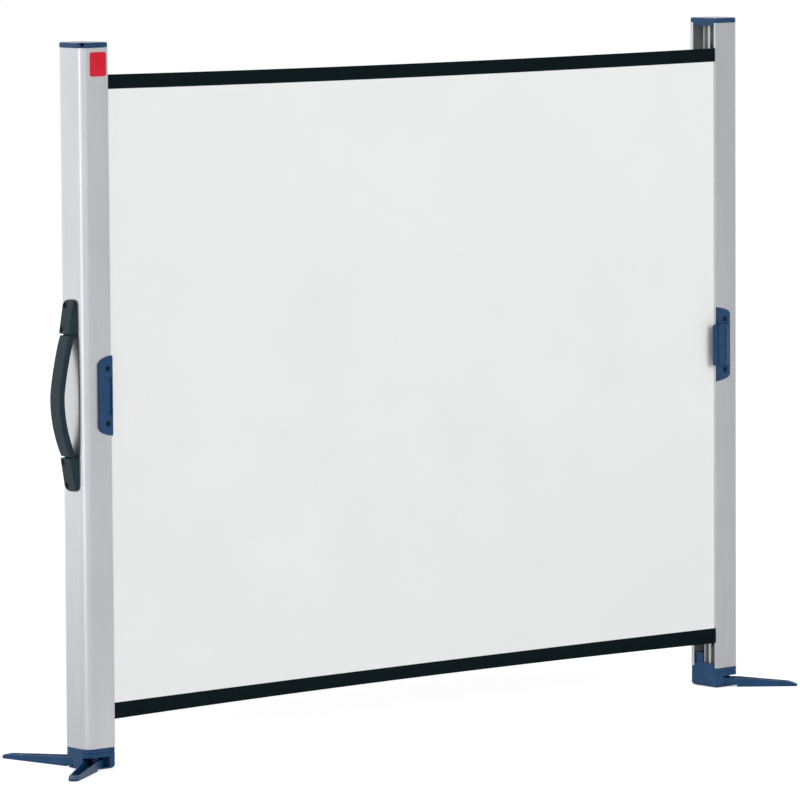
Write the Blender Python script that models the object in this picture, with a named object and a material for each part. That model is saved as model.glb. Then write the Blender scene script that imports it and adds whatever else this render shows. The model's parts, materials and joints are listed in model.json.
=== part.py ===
"""Tabletop roll-up projection screen.

Two free-standing posts carry a wide fabric screen between them. The left post is the
housing of a spring roller that the fabric winds onto, and the right post is pulled
away from it. Each post stands on a moulded base with two swivelling feet, and a latch
on the right post hooks into a catch on the left post when the screen is closed.

Metres, +Z up. The origin is on the table, on the axis of the roller. +X runs along the
screen to the right post, and +Y points to the back of the screen.
"""

import math

import bmesh
import bpy
from mathutils import Matrix, Vector

# Whole screen
VIEW_WIDTH = 1.040
FABRIC_HEIGHT = 0.8165
FABRIC_BOTTOM = 0.0625
FABRIC_THICKNESS = 0.0004
FABRIC_BOW = 0.015
FABRIC_TOP_MARGIN = 0.0345
LATCH_LEVEL = 0.4747
HANDLE_LEVEL = 0.4760

# Clearances
SEAT_GAP = 0.0003
RUN_GAP = 0.0004
OVERRUN = 0.003

# Post extrusion: p runs from the open mouth to the outer side, q from front to back
POST_WIDTH = 0.044
POST_DEPTH = 0.050
CORNER_RADIUS = 0.011
MOUTH_RADIUS = 0.0012
WALL = 0.0018
LIP_THICKNESS = 0.002
FRONT_LIP = 0.0032
REAR_LIP = 0.0056
PORT_RING = 0.0031
PORT_BORE = 0.0019
PORT_SINK = 0.0026
PORT_GAP_DEG = 32
RIB_THICKNESS = 0.0016
RIB_TIP = 0.0034
CLAMP_RIB_Q = 0.0156
CLAMP_HEAD = 0.0044
CENTRE_RIB_Q = 0.0257

# Caps
CAP_HEIGHT = 0.0065
CAP_EDGE = 0.0022
CAP_APRON = 0.0045
APRON_START = 0.0050
APRON_END = 0.0440
APRON_THICKNESS = 0.0026
APRON_SLANT = 0.0018
NOTCH_RADIUS = 0.0042
NOTCH_RISE = 0.0008
NOTCH_REACH = 0.0040

# Bases
BASE_HEIGHT = 0.0275
BASE_FILLET = 0.0055
GROOVE_DROP = 0.0058
GROOVE_WIDTH = 0.0010
GROOVE_DEPTH = 0.0007
BASE_APRON = 0.0060
PLUG_RISE = 0.0095
CLAMP_POST_PLUG_RISE = 0.0190
PLUG_INSET = 0.0012
PLATE_THICKNESS = 0.0022
POCKET_CEILING = 0.0160

# Feet: plan shape is a root circle and a tip circle joined by straight sides
PIN_OFFSET = 0.0115
PIN_RADIUS = 0.0026
PIN_PLATE_DEPTH = 0.0013
PIN_TOP_DEPTH = 0.0060
FOOT_ROOT_RADIUS = 0.0105
FOOT_TIP_RADIUS = 0.0068
FRONT_FOOT_LENGTH = 0.105
REAR_FOOT_LENGTH = 0.134
FOOT_WALL = 0.0018
FOOT_FLOOR = 0.0020
FOOT_ROOT_HEIGHT = 0.0125
FOOT_TIP_HEIGHT = 0.0062
FOOT_STEP_RADIUS = 0.0235
FOOT_TIP_BLOCK = 0.0085
FOOT_NOSE = 0.0085
HUB_RADIUS = 0.0052
STOP_GAP_DEG = 0.8
NARROW_SWING_DEG = (217, 282)
WIDE_SWING_DEG = (103, 168)
LEFT_FRONT_REST_DEG = 217
LEFT_REAR_REST_DEG = 103
RIGHT_FRONT_REST_DEG = 319
RIGHT_REAR_REST_DEG = 45

# Roller in the left post
TUBE_RADIUS = 0.0140
TUBE_WALL = 0.0012
ROLL_BUILD = 0.0006
PLUG_LENGTH = 0.0145
FLANGE_THICKNESS = 0.0025
FLANGE_MARGIN = 0.0004
ROD_RADIUS = 0.0030
ROD_LENGTH = 0.323
COLLAR_RADIUS = 0.0084
COLLAR_THICKNESS = 0.0024
WASHER_RADIUS = 0.0100
WASHER_THICKNESS = 0.0015
SPRING_RADIUS = 0.0072
SPRING_WIRE = 0.0009
SPRING_LENGTH = 0.268
SPRING_TURNS = 16
ANCHOR_LENGTH = 0.0140
TUBE_TOP_DROP = 0.0230
JOURNAL_LENGTH = 0.0097
BEARING_RADIUS = 0.0062
BEARING_FLANGE = 0.0018
BEARING_LENGTH = 0.0100
BEARING_BOSS_RADIUS = 0.0092
BEARING_BOSS_DROP = 0.0110
ROD_SOCKET = 0.0080

# Fabric clamp in the right post
CLAMP_BAR_THICKNESS = 0.0030
CLAMP_BAR_MARGIN = 0.0040

# Carrying handle on the outer side of the left post
HANDLE_LENGTH = 0.2425
HANDLE_OFFSET = -0.0025
BRACKET_LENGTH = 0.043
BRACKET_WIDTH = 0.0235
BRACKET_HIGH = 0.0127
BRACKET_LOW = 0.0060
BRACKET_NOSE = 0.0070
BRACKET_EDGE = 0.0018
BRACKET_END_RADIUS = 0.0085
STRAP_GAP = 0.0020
STRAP_WIDTH = 0.0185
STRAP_THICKNESS = 0.0090
STRAP_CHAMFER = 0.0011
STRAP_END_LIFT = 0.0030
STRAP_MID_LIFT = 0.0195
TONGUE_LENGTH = 0.0125
TONGUE_WIDTH = 0.0170
TONGUE_THICKNESS = 0.0030
TONGUE_LIFT = 0.0036
TONGUE_SINK = 0.0040
HANDLE_SCREW_NEAR = 0.0062
HANDLE_SCREW_FAR = 0.0358
HANDLE_SCREW_OFFSET = 0.0060
HANDLE_SEAT_NEAR = 0.0094
HANDLE_SEAT_FAR = 0.0030

# Latch and catch on the front faces
KEEPER_HEIGHT = 0.1018
CATCH_WIDTH = 0.0206
LATCH_WIDTH = 0.0235
KEEPER_THICKNESS = 0.0050
KEEPER_FOOT = 0.0014
KEEPER_EDGE = 0.0016
KEEPER_END_SLOPE = 0.0070
CATCH_SLANT = 0.0062
LATCH_SLANT = 0.0042
CATCH_CORNER = 0.0050
LATCH_CORNER = 0.0035
KEEPER_SCREW_SPACING = 0.0695
CATCH_SCREW_P = 0.0088
LATCH_SCREW_P = 0.0130
KEEPER_SCREW_SEAT = 0.0024
RECESS_HEIGHT = 0.0470
RECESS_WIDTH = 0.0110
RECESS_RIM = 0.0030
RECESS_DEPTH = 0.0016
LEVER_HEIGHT = 0.0560
LEVER_END_GAP = 0.0006
LEVER_BACK = 0.0190
LEVER_FRONT = 0.0012
LEVER_CREST = 0.0085
BULGE_REACH = 0.0026
LEVER_BULGE = 0.0049
LEVER_LIFT = 0.0014
TONGUE_REACH = 0.0117
LEVER_TONGUE_THICKNESS = 0.0024
VALLEY_START = 0.0058
VALLEY_DEPTH = 0.0013
BARB_START = 0.0062
BARB_WIDTH = 0.0018
BARB_HEIGHT = 0.0440
BARB_DEPTH = 0.0019
LATCH_PIN_RADIUS = 0.0012
LATCH_PIN_P = 0.0120
LATCH_PIN_OUT = 0.0030
LATCH_PIN_REACH = 0.0020
LEAF_THICKNESS = 0.0003
LEAF_WIDTH = 0.0100
LEAF_HEIGHT = 0.0200

# Screws
SCREW_HEAD_RADIUS = 0.0029
SCREW_HEAD_HEIGHT = 0.0018
SCREW_SHANK_RADIUS = 0.0015
SCREW_SOCKET_RADIUS = 0.0009
SCREW_SOCKET_DEPTH = 0.0008
WALL_SCREW_REACH = 0.0022
PORT_SCREW_REACH = 0.0120
PORT_SCREW_SEAT = 0.0030
PLATE_SCREW_LENGTH = 0.0090
PLATE_SCREW_SINK = 0.0004
PLATE_SCREW_MOUTH_X = 0.0170
PLATE_SCREW_PILLAR_X = 0.0170
PLATE_SCREW_PILLAR_Y = 0.0040

# Facets
ARC_STEPS = 6
ROUND_STEPS = 24
SMALL_STEPS = 10
BOW_STEPS = 28
STRAP_STEPS = 18
SPRING_STEPS = 8
SPRING_SIDES = 5
FILLET_STEPS = 3

# Levels and places that follow from the sizes above
HOUSING_BOTTOM = BASE_HEIGHT
HOUSING_TOP = FABRIC_BOTTOM + FABRIC_HEIGHT + FABRIC_TOP_MARGIN
SCREEN_HEIGHT = HOUSING_TOP + CAP_HEIGHT
RIGHT_CENTRE = VIEW_WIDTH + POST_WIDTH
PLATE_TOP = PLATE_THICKNESS
BODY_BOTTOM = PLATE_TOP + SEAT_GAP
FOOT_BOTTOM = PLATE_TOP + RUN_GAP
FABRIC_Q = FRONT_LIP + SEAT_GAP + FABRIC_THICKNESS / 2
ROLL_RADIUS = TUBE_RADIUS + SEAT_GAP + ROLL_BUILD
WASHER_BOTTOM = BASE_HEIGHT + PLUG_RISE + SEAT_GAP
FLANGE_BOTTOM = WASHER_BOTTOM + WASHER_THICKNESS + SEAT_GAP
TUBE_BOTTOM = FLANGE_BOTTOM + FLANGE_THICKNESS + SEAT_GAP
TUBE_TOP = SCREEN_HEIGHT - TUBE_TOP_DROP


def remove_everything():
    for item in list(bpy.data.objects):
        bpy.data.objects.remove(item, do_unlink=True)


def make_material(name, colour, roughness, metallic):
    finish = bpy.data.materials.new(name)
    finish.use_nodes = True
    shader = finish.node_tree.nodes["Principled BSDF"]
    shader.inputs["Base Color"].default_value = (*colour, 1)
    shader.inputs["Roughness"].default_value = roughness
    shader.inputs["Metallic"].default_value = metallic
    return finish


def from_bmesh(name, body, finish, smooth_deg=35):
    bmesh.ops.remove_doubles(body, verts=body.verts, dist=1e-7)
    bmesh.ops.recalc_face_normals(body, faces=body.faces)
    mesh = bpy.data.meshes.new(name)
    body.to_mesh(mesh)
    body.free()
    mesh.shade_smooth()
    mesh.set_sharp_from_angle(angle=math.radians(smooth_deg))
    mesh.materials.append(finish)
    item = bpy.data.objects.new(name, mesh)
    bpy.context.scene.collection.objects.link(item)
    return item


def arc(centre, radius, start_deg, end_deg, steps):
    points = []
    for step in range(steps + 1):
        angle = math.radians(start_deg + (end_deg - start_deg) * step / steps)
        points.append((centre[0] + radius * math.cos(angle), centre[1] + radius * math.sin(angle)))
    return points


def loft(name, rings, finish):
    """A closed body through rings of equal point count, capped at both ends."""
    body = bmesh.new()
    loops = [[body.verts.new(point) for point in ring] for ring in rings]
    count = len(loops[0])
    for low, high in zip(loops, loops[1:]):
        for index in range(count):
            after = (index + 1) % count
            body.faces.new((low[index], low[after], high[after], high[index]))
    body.faces.new(loops[0])
    body.faces.new(loops[-1])
    return from_bmesh(name, body, finish)


def prism(name, outline, low, high, finish, along="Z"):
    """Extrude an outline. Its two coordinates are XY, XZ or YZ, for along Z, Y or X."""
    place = {
        "Z": lambda a, b, level: (a, b, level),
        "Y": lambda a, b, level: (a, level, b),
        "X": lambda a, b, level: (level, a, b),
    }[along]
    return loft(name, [[place(a, b, level) for a, b in outline] for level in (low, high)], finish)


def turned(name, profile, finish, centre=(0, 0), steps=ROUND_STEPS):
    """A body of revolution about a vertical axis, from (radius, z) points on its outer side."""
    rings = []
    for radius, level in profile:
        circle = arc(centre, radius, 0, 360, steps)[:-1]
        rings.append([(x, y, level) for x, y in circle])
    return loft(name, rings, finish)


def box_outline(a0, a1, b0, b1):
    return [(a0, b0), (a1, b0), (a1, b1), (a0, b1)]


def rounded_box(a0, a1, b0, b1, radii, steps):
    """A rectangle with its own corner radius at each of a0b0, a1b0, a1b1 and a0b1."""
    r0, r1, r2, r3 = radii
    return (
        arc((a0 + r0, b0 + r0), r0, 180, 270, steps)
        + arc((a1 - r1, b0 + r1), r1, 270, 360, steps)
        + arc((a1 - r2, b1 - r2), r2, 0, 90, steps)
        + arc((a0 + r3, b1 - r3), r3, 90, 180, steps)
    )


def settle(item):
    """Turn an object's modifiers into its mesh."""
    bpy.context.view_layer.update()
    graph = bpy.context.evaluated_depsgraph_get()
    mesh = bpy.data.meshes.new_from_object(item.evaluated_get(graph))
    item.modifiers.clear()
    item.data = mesh


def combine(item, tool, operation):
    change = item.modifiers.new(operation.lower(), "BOOLEAN")
    change.operation = operation
    change.solver = "EXACT"
    change.object = tool
    settle(item)
    bpy.data.objects.remove(tool, do_unlink=True)


def cut(item, tool):
    combine(item, tool, "DIFFERENCE")


def join(item, tool):
    combine(item, tool, "UNION")


def bevelled(item, width, segments, angle_deg=50):
    edge = item.modifiers.new("edge", "BEVEL")
    edge.width = width
    edge.segments = segments
    edge.limit_method = "ANGLE"
    edge.angle_limit = math.radians(angle_deg)
    edge.use_clamp_overlap = True
    settle(item)


def move(item, matrix):
    item.data.transform(matrix)
    if matrix.determinant() < 0:
        item.data.flip_normals()


def set_origin(item, point):
    """Put the object's origin on its joint axis without moving its shape."""
    item.data.transform(Matrix.Translation(-Vector(point)))
    item.location = point


# Posts

def mouth_x(side):
    return POST_WIDTH / 2 if side == "left" else POST_WIDTH / 2 + VIEW_WIDTH


def centre_x(side):
    return 0 if side == "left" else RIGHT_CENTRE


def inward(side):
    """+1 where p grows towards +X, -1 where it grows towards -X."""
    return -1 if side == "left" else 1


def place_pq(side, points):
    """Turn (p, q) points of a post's section into (x, y)."""
    return [(mouth_x(side) + inward(side) * p, q - POST_DEPTH / 2) for p, q in points]


def port_corner(centre, radius, axis_deg):
    """The inner corner of the section, walked clockwise, with an open screw port in it."""
    offset = radius - PORT_SINK
    middle = (
        centre[0] + offset * math.cos(math.radians(axis_deg)),
        centre[1] + offset * math.sin(math.radians(axis_deg)),
    )
    wide = math.degrees(math.acos((radius**2 + offset**2 - PORT_RING**2) / (2 * radius * offset)))
    turn = math.degrees(math.acos((radius**2 - offset**2 - PORT_RING**2) / (2 * offset * PORT_RING)))
    gap = PORT_GAP_DEG
    return (
        arc(centre, radius, axis_deg + 45, axis_deg + wide, 2)
        + arc(middle, PORT_RING, axis_deg + turn, axis_deg + 180 - gap, 4)[1:]
        + arc(middle, PORT_BORE, axis_deg + 180 - gap, axis_deg - 180 + gap, SMALL_STEPS)
        + arc(middle, PORT_RING, axis_deg + 180 + gap, axis_deg + 360 - turn, 4)
        + arc(centre, radius, axis_deg - wide, axis_deg - 45, 2)[1:]
    )


def port_centres():
    """The (p, q) centres of the two screw ports."""
    reach = (CORNER_RADIUS - WALL - PORT_SINK) * math.sqrt(0.5)
    p = POST_WIDTH - CORNER_RADIUS + reach
    return [(p, CORNER_RADIUS - reach), (p, POST_DEPTH - CORNER_RADIUS + reach)]


def rib(root_q, head=0.0):
    """A rib from the outer wall to near the mouth, walked from its back side to its front."""
    inner = POST_WIDTH - WALL
    back = root_q + RIB_THICKNESS
    if not head:
        return [(inner, back), (RIB_TIP, back), (RIB_TIP, root_q), (inner, root_q)]
    middle = root_q + RIB_THICKNESS / 2
    neck = RIB_TIP + RIB_THICKNESS
    return [
        (inner, back), (neck, back), (neck, middle + head / 2), (RIB_TIP, middle + head / 2),
        (RIB_TIP, middle - head / 2), (neck, middle - head / 2), (neck, root_q), (inner, root_q),
    ]


def section(with_ribs):
    """The extrusion's closed outline in (p, q)."""
    width, depth, radius = POST_WIDTH, POST_DEPTH, CORNER_RADIUS
    inner_radius = radius - WALL
    outer = (
        [(0, 0)]
        + arc((width - radius, radius), radius, -90, 0, ARC_STEPS)
        + arc((width - radius, depth - radius), radius, 0, 90, ARC_STEPS)
        + [(0, depth)]
    )
    rear = [(0, depth - REAR_LIP), (LIP_THICKNESS, depth - REAR_LIP), (LIP_THICKNESS, depth - WALL)]
    ribs = rib(CENTRE_RIB_Q) + rib(CLAMP_RIB_Q, CLAMP_HEAD) if with_ribs else []
    front = [(LIP_THICKNESS, WALL), (LIP_THICKNESS, FRONT_LIP), (0, FRONT_LIP)]
    return (
        outer
        + rear
        + port_corner((width - radius, depth - radius), inner_radius, 45)
        + ribs
        + port_corner((width - radius, radius), inner_radius, -45)
        + front
    )


def round_tool(name, centre, radius, low, high, along, finish):
    """A round cutter or pin. Its centre is given in the two coordinates across its axis."""
    return prism(name, arc(centre, radius, 0, 360, SMALL_STEPS)[:-1], low, high, finish, along)


def post_outline(side, inset):
    radii = [max(MOUTH_RADIUS - inset, MOUTH_RADIUS / 4)] * 4
    radii[1] = radii[2] = CORNER_RADIUS - inset
    points = rounded_box(inset, POST_WIDTH - inset, inset, POST_DEPTH - inset, radii, ARC_STEPS)
    return place_pq(side, points)


def post_loft(name, side, steps, finish):
    """A body of the post's outline through (inset, z) steps."""
    return loft(name, [[(x, y, z) for x, y in post_outline(side, inset)] for inset, z in steps], finish)


def pq_block(name, side, p0, p1, q0, q1, low, high, finish):
    return prism(name, place_pq(side, box_outline(p0, p1, q0, q1)), low, high, finish)


def make_housing(side, finish):
    outline = place_pq(side, section(side == "right"))
    return prism(side + "_housing", outline, HOUSING_BOTTOM, HOUSING_TOP - SEAT_GAP, finish)


def apron(name, side, free, rooted, finish):
    """The wall across the mouth. Its free end has slanted corners."""
    slant = APRON_SLANT
    inner = free + slant * (1 if rooted > free else -1)
    y0, y1 = APRON_START - POST_DEPTH / 2, APRON_END - POST_DEPTH / 2
    outline = [(y0, rooted), (y1, rooted), (y1, inner), (y1 - slant, free), (y0 + slant, free), (y0, inner)]
    ends = [mouth_x(side) + inward(side) * p for p in (SEAT_GAP, SEAT_GAP + APRON_THICKNESS)]
    return prism(name, outline, min(ends), max(ends), finish, "X")


def plug_range(side):
    """The q range of the plug block inside the extrusion, clear of the ribs and ports."""
    if side == "left":
        return APRON_START + PLUG_INSET, APRON_END - PLUG_INSET
    return CENTRE_RIB_Q + RIB_THICKNESS + PLUG_INSET, APRON_END - PLUG_INSET


def plug_depth():
    return POST_WIDTH - CORNER_RADIUS - PLUG_INSET


def make_cap(side, finish):
    """The top cap: rounded lid, apron across the mouth and a plug inside the extrusion."""
    edge = CAP_EDGE
    steps = [(0, HOUSING_TOP)]
    for step in range(FILLET_STEPS + 1):
        angle = math.pi / 2 * step / FILLET_STEPS
        steps.append((edge * (1 - math.cos(angle)), SCREEN_HEIGHT - edge * (1 - math.sin(angle))))
    cap = post_loft(side + "_top_cap", side, steps, finish)
    middle = HOUSING_TOP + CAP_HEIGHT / 2
    join(cap, apron("apron", side, HOUSING_TOP - CAP_APRON, middle, finish))
    if side == "right":
        q0, q1 = plug_range(side)
        low = HOUSING_TOP - CAP_APRON
        join(cap, pq_block("plug", side, APRON_THICKNESS, plug_depth(), q0, q1, low, middle, finish))
        return cap
    low = HOUSING_TOP - BEARING_BOSS_DROP
    join(cap, turned("boss", [(BEARING_BOSS_RADIUS, low), (BEARING_BOSS_RADIUS, middle)], finish))
    hole = BEARING_RADIUS + SEAT_GAP
    top = low + BEARING_LENGTH - BEARING_FLANGE
    cut(cap, turned("socket", [(hole, low - OVERRUN), (hole, top)], finish))
    notch = round_tool(
        "notch", (0, SCREEN_HEIGHT + NOTCH_RISE), NOTCH_RADIUS, -OVERRUN, NOTCH_REACH, "Y", finish
    )
    inset = CORNER_RADIUS * (1 - math.sqrt(0.5))
    corner = (inset - POST_WIDTH / 2, inset - POST_DEPTH / 2, 0)
    move(notch, Matrix.Translation(corner) @ Matrix.Rotation(math.radians(-45), 4, "Z"))
    cut(cap, notch)
    return cap


# Bases and feet

def swing(side, place):
    """The absolute angles between which a foot can turn, anticlockwise, in degrees.

    Both posts use one base moulding, turned half round on the right post.
    """
    narrow = (side == "left") == (place == "front")
    low, high = NARROW_SWING_DEG if narrow else WIDE_SWING_DEG
    half_turn = 0 if side == "left" else (180 if low < 180 else -180)
    return low + half_turn, high + half_turn


def foot_pin(side, place):
    return centre_x(side), PIN_OFFSET * (-1 if place == "front" else 1)


def side_taper_deg(length):
    span = length - FOOT_TIP_RADIUS
    return math.degrees(math.asin((FOOT_ROOT_RADIUS - FOOT_TIP_RADIUS) / span))


def pocket_tool(side, place, finish):
    """What a foot sweeps inside its base, from one stop to the other."""
    low, high = swing(side, place)
    pin = foot_pin(side, place)
    room = FOOT_ROOT_RADIUS + RUN_GAP
    taper = side_taper_deg(FRONT_FOOT_LENGTH)
    first = low - STOP_GAP_DEG - 90
    last = high + STOP_GAP_DEG + 90
    far = POST_WIDTH + POST_DEPTH
    back = arc(pin, room, last - taper, first + taper + 360, 2 * ARC_STEPS)
    start, end = back[-1], back[0]
    sweep = []
    for step in range(ARC_STEPS + 1):
        share = step / ARC_STEPS
        angle = math.radians(low - STOP_GAP_DEG + taper + (high - low + 2 * (STOP_GAP_DEG - taper)) * share)
        root = (start[0] + (end[0] - start[0]) * share, start[1] + (end[1] - start[1]) * share)
        sweep.append((root[0] + far * math.cos(angle), root[1] + far * math.sin(angle)))
    return prism("pocket", back + sweep, BODY_BOTTOM - OVERRUN, POCKET_CEILING, finish)


def fillet_steps():
    steps = []
    for step in range(FILLET_STEPS + 1):
        angle = math.pi / 2 * step / FILLET_STEPS
        steps.append((BASE_FILLET * (1 - math.sin(angle)), BASE_FILLET * (1 - math.cos(angle))))
    return steps


def base_blank(name, side, finish):
    groove = BASE_HEIGHT - GROOVE_DROP
    half = GROOVE_WIDTH / 2
    steps = fillet_steps() + [
        (0, groove - half), (GROOVE_DEPTH, groove - half / 2), (GROOVE_DEPTH, groove + half / 2),
        (0, groove + half), (0, BASE_HEIGHT - SEAT_GAP),
    ]
    return post_loft(name, side, steps, finish)


def slab(name, side, low, high, finish):
    x, reach = centre_x(side), POST_WIDTH
    return prism(name, box_outline(x - reach, x + reach, -reach, reach), low, high, finish)


def plate_screw_places(side):
    turn = 1 if side == "left" else -1
    x = centre_x(side)
    return [
        (x + turn * PLATE_SCREW_MOUTH_X, 0),
        (x - turn * PLATE_SCREW_PILLAR_X, -turn * PLATE_SCREW_PILLAR_Y),
    ]


def make_base(side, finish):
    """The base body: pockets for two feet, apron and plug into the extrusion."""
    base = base_blank(side + "_base", side, finish)
    cut(base, slab("under", side, -OVERRUN, BODY_BOTTOM, finish))
    top = BASE_HEIGHT - SEAT_GAP
    join(base, apron("apron", side, BASE_HEIGHT + BASE_APRON, top - OVERRUN, finish))
    q0, q1 = plug_range(side)
    plug_top = BASE_HEIGHT + (PLUG_RISE if side == "left" else CLAMP_POST_PLUG_RISE)
    join(base, pq_block("plug", side, APRON_THICKNESS, plug_depth(), q0, q1, top - OVERRUN, plug_top, finish))
    for place in ("front", "rear"):
        cut(base, pocket_tool(side, place, finish))
        seat = PIN_RADIUS + SEAT_GAP
        high = POCKET_CEILING + PIN_TOP_DEPTH + SEAT_GAP
        cut(base, round_tool("pin_hole", foot_pin(side, place), seat, POCKET_CEILING - OVERRUN, high, "Z", finish))
    for centre in place_pq(side, port_centres()):
        seat = POCKET_CEILING + PORT_SCREW_SEAT
        head = SCREW_HEAD_RADIUS + SEAT_GAP
        shank = SCREW_SHANK_RADIUS + SEAT_GAP
        cut(base, round_tool("head_hole", centre, head, POCKET_CEILING - OVERRUN, seat, "Z", finish))
        cut(base, round_tool("shank_hole", centre, shank, seat - OVERRUN, BASE_HEIGHT + OVERRUN, "Z", finish))
    for centre in plate_screw_places(side):
        shank = SCREW_SHANK_RADIUS + SEAT_GAP
        cut(base, round_tool("plate_hole", centre, shank, -OVERRUN, PLATE_SCREW_LENGTH + OVERRUN, "Z", finish))
    if side == "left":
        low = BASE_HEIGHT + PLUG_RISE - ROD_SOCKET
        high = BASE_HEIGHT + PLUG_RISE + OVERRUN
        cut(base, round_tool("rod_socket", (0, 0), ROD_RADIUS + SEAT_GAP, low, high, "Z", finish))
    return base


def make_base_plate(side, finish):
    """The thin plate under the base that keeps the feet on their pins."""
    plate = base_blank(side + "_base_plate", side, finish)
    cut(plate, slab("over", side, PLATE_TOP, POST_WIDTH, finish))
    for place in ("front", "rear"):
        low = PLATE_TOP - PIN_PLATE_DEPTH
        seat = PIN_RADIUS + SEAT_GAP
        cut(plate, round_tool("pin_hole", foot_pin(side, place), seat, low, PLATE_TOP + OVERRUN, "Z", finish))
    for centre in plate_screw_places(side):
        head = SCREW_HEAD_RADIUS + SEAT_GAP
        shank = SCREW_SHANK_RADIUS + SEAT_GAP
        seat = PLATE_SCREW_SINK + SCREW_HEAD_HEIGHT / 2 + SEAT_GAP
        cut(plate, round_tool("head_hole", centre, head, -OVERRUN, seat, "Z", finish))
        cut(plate, round_tool("shank_hole", centre, shank, -OVERRUN, PLATE_TOP + OVERRUN, "Z", finish))
    return plate


def foot_outline(root, tip, span):
    """Root circle at the origin, tip circle at span along +X, joined by straight sides."""
    lean = math.degrees(math.asin((root - tip) / span))
    return (
        arc((0, 0), root, 90 - lean, 270 + lean, 2 * ARC_STEPS)
        + arc((span, 0), tip, -90 + lean, 90 - lean, 2 * ARC_STEPS)
    )


def make_foot(side, place, finish):
    """A trough that lies on the table, with a raised root that turns inside the base."""
    long_foot = place == "rear"
    length = REAR_FOOT_LENGTH if long_foot else FRONT_FOOT_LENGTH
    rest = {
        ("left", "front"): LEFT_FRONT_REST_DEG, ("left", "rear"): LEFT_REAR_REST_DEG,
        ("right", "front"): RIGHT_FRONT_REST_DEG, ("right", "rear"): RIGHT_REAR_REST_DEG,
    }[side, place]
    span = length - FOOT_TIP_RADIUS
    name = side + "_" + place + "_foot"
    foot = prism(name, foot_outline(FOOT_ROOT_RADIUS, FOOT_TIP_RADIUS, span), 0, FOOT_ROOT_HEIGHT, finish)
    inner_root = FOOT_ROOT_RADIUS - FOOT_WALL
    inner_tip = FOOT_TIP_RADIUS - FOOT_WALL
    inner = foot_outline(inner_root, inner_tip, span - FOOT_TIP_BLOCK)
    high = FOOT_ROOT_HEIGHT + OVERRUN
    raised_floor = FOOT_BOTTOM + FOOT_FLOOR
    cut(foot, prism("trough", inner, raised_floor, high, finish))
    start = FOOT_STEP_RADIUS + FOOT_WALL
    lean = (inner_root - inner_tip) / (span - FOOT_TIP_BLOCK)
    half = inner_root - lean * start
    deep = [(start, -half), *arc((span - FOOT_TIP_BLOCK, 0), inner_tip, -90, 90, ARC_STEPS), (start, half)]
    cut(foot, prism("deep_trough", deep, FOOT_FLOOR, raised_floor + OVERRUN, finish))
    step = arc((0, 0), FOOT_STEP_RADIUS, 0, 360, 2 * ROUND_STEPS)[:-1]
    cut(foot, prism("step", step, -OVERRUN, FOOT_BOTTOM, finish))
    nose = length - FOOT_NOSE
    slope = [
        (FOOT_STEP_RADIUS, FOOT_ROOT_HEIGHT), (nose, FOOT_TIP_HEIGHT),
        (length + OVERRUN, FOOT_TIP_HEIGHT / 4), (length + OVERRUN, high), (FOOT_STEP_RADIUS, high),
    ]
    cut(foot, prism("slope", slope, -2 * FOOT_ROOT_RADIUS, 2 * FOOT_ROOT_RADIUS, finish, "Y"))
    hub_top = POCKET_CEILING - RUN_GAP
    hub = arc((0, 0), HUB_RADIUS, 0, 360, ROUND_STEPS)[:-1]
    join(foot, prism("hub", hub, FOOT_BOTTOM + FOOT_FLOOR / 2, hub_top, finish))
    bore = PIN_RADIUS + SEAT_GAP
    cut(foot, round_tool("bore", (0, 0), bore, -OVERRUN, POCKET_CEILING + OVERRUN, "Z", finish))
    foot.rotation_euler = (0, 0, math.radians(rest))
    foot.location = (*foot_pin(side, place), 0)
    return foot


def make_foot_pin(side, place, finish):
    low = PLATE_TOP - PIN_PLATE_DEPTH + SEAT_GAP
    high = POCKET_CEILING + PIN_TOP_DEPTH
    profile = [(PIN_RADIUS, low), (PIN_RADIUS, high)]
    return turned(side + "_" + place + "_foot_pin", profile, finish, foot_pin(side, place), SMALL_STEPS)


# Screws

def make_screw(name, seat, direction, length, finish):
    """A pan-head screw. seat is where its head rests, and direction is where its shank goes."""
    profile = [
        (SCREW_SOCKET_RADIUS, SCREW_HEAD_HEIGHT - SCREW_SOCKET_DEPTH),
        (SCREW_SOCKET_RADIUS, SCREW_HEAD_HEIGHT),
        (SCREW_HEAD_RADIUS - SCREW_HEAD_HEIGHT / 4, SCREW_HEAD_HEIGHT),
        (SCREW_HEAD_RADIUS, SCREW_HEAD_HEIGHT * 0.6),
        (SCREW_HEAD_RADIUS, 0),
        (SCREW_SHANK_RADIUS, 0),
        (SCREW_SHANK_RADIUS, -length),
    ]
    screw = turned(name, profile, finish, steps=SMALL_STEPS)
    turn = Vector((0, 0, -1)).rotation_difference(Vector(direction)).to_matrix().to_4x4()
    move(screw, Matrix.Translation(seat) @ turn)
    return screw


def make_base_screws(side, finish):
    """Two screws from the pocket ceilings into the extrusion's ports, two through the plate."""
    for number, (x, y) in enumerate(place_pq(side, port_centres()), 1):
        level = POCKET_CEILING + PORT_SCREW_SEAT - SEAT_GAP
        reach = BASE_HEIGHT - level + PORT_SCREW_REACH
        make_screw(f"{side}_base_screw_{number}", (x, y, level), (0, 0, 1), reach, finish)
    for number, (x, y) in enumerate(plate_screw_places(side), 1):
        level = PLATE_SCREW_SINK + SCREW_HEAD_HEIGHT / 2
        name = f"{side}_plate_screw_{number}"
        profile = [
            (SCREW_HEAD_RADIUS, PLATE_SCREW_SINK), (SCREW_HEAD_RADIUS, level),
            (SCREW_SHANK_RADIUS, level), (SCREW_SHANK_RADIUS, PLATE_SCREW_LENGTH),
        ]
        turned(name, profile, finish, (x, y), SMALL_STEPS)


# Roller

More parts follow.
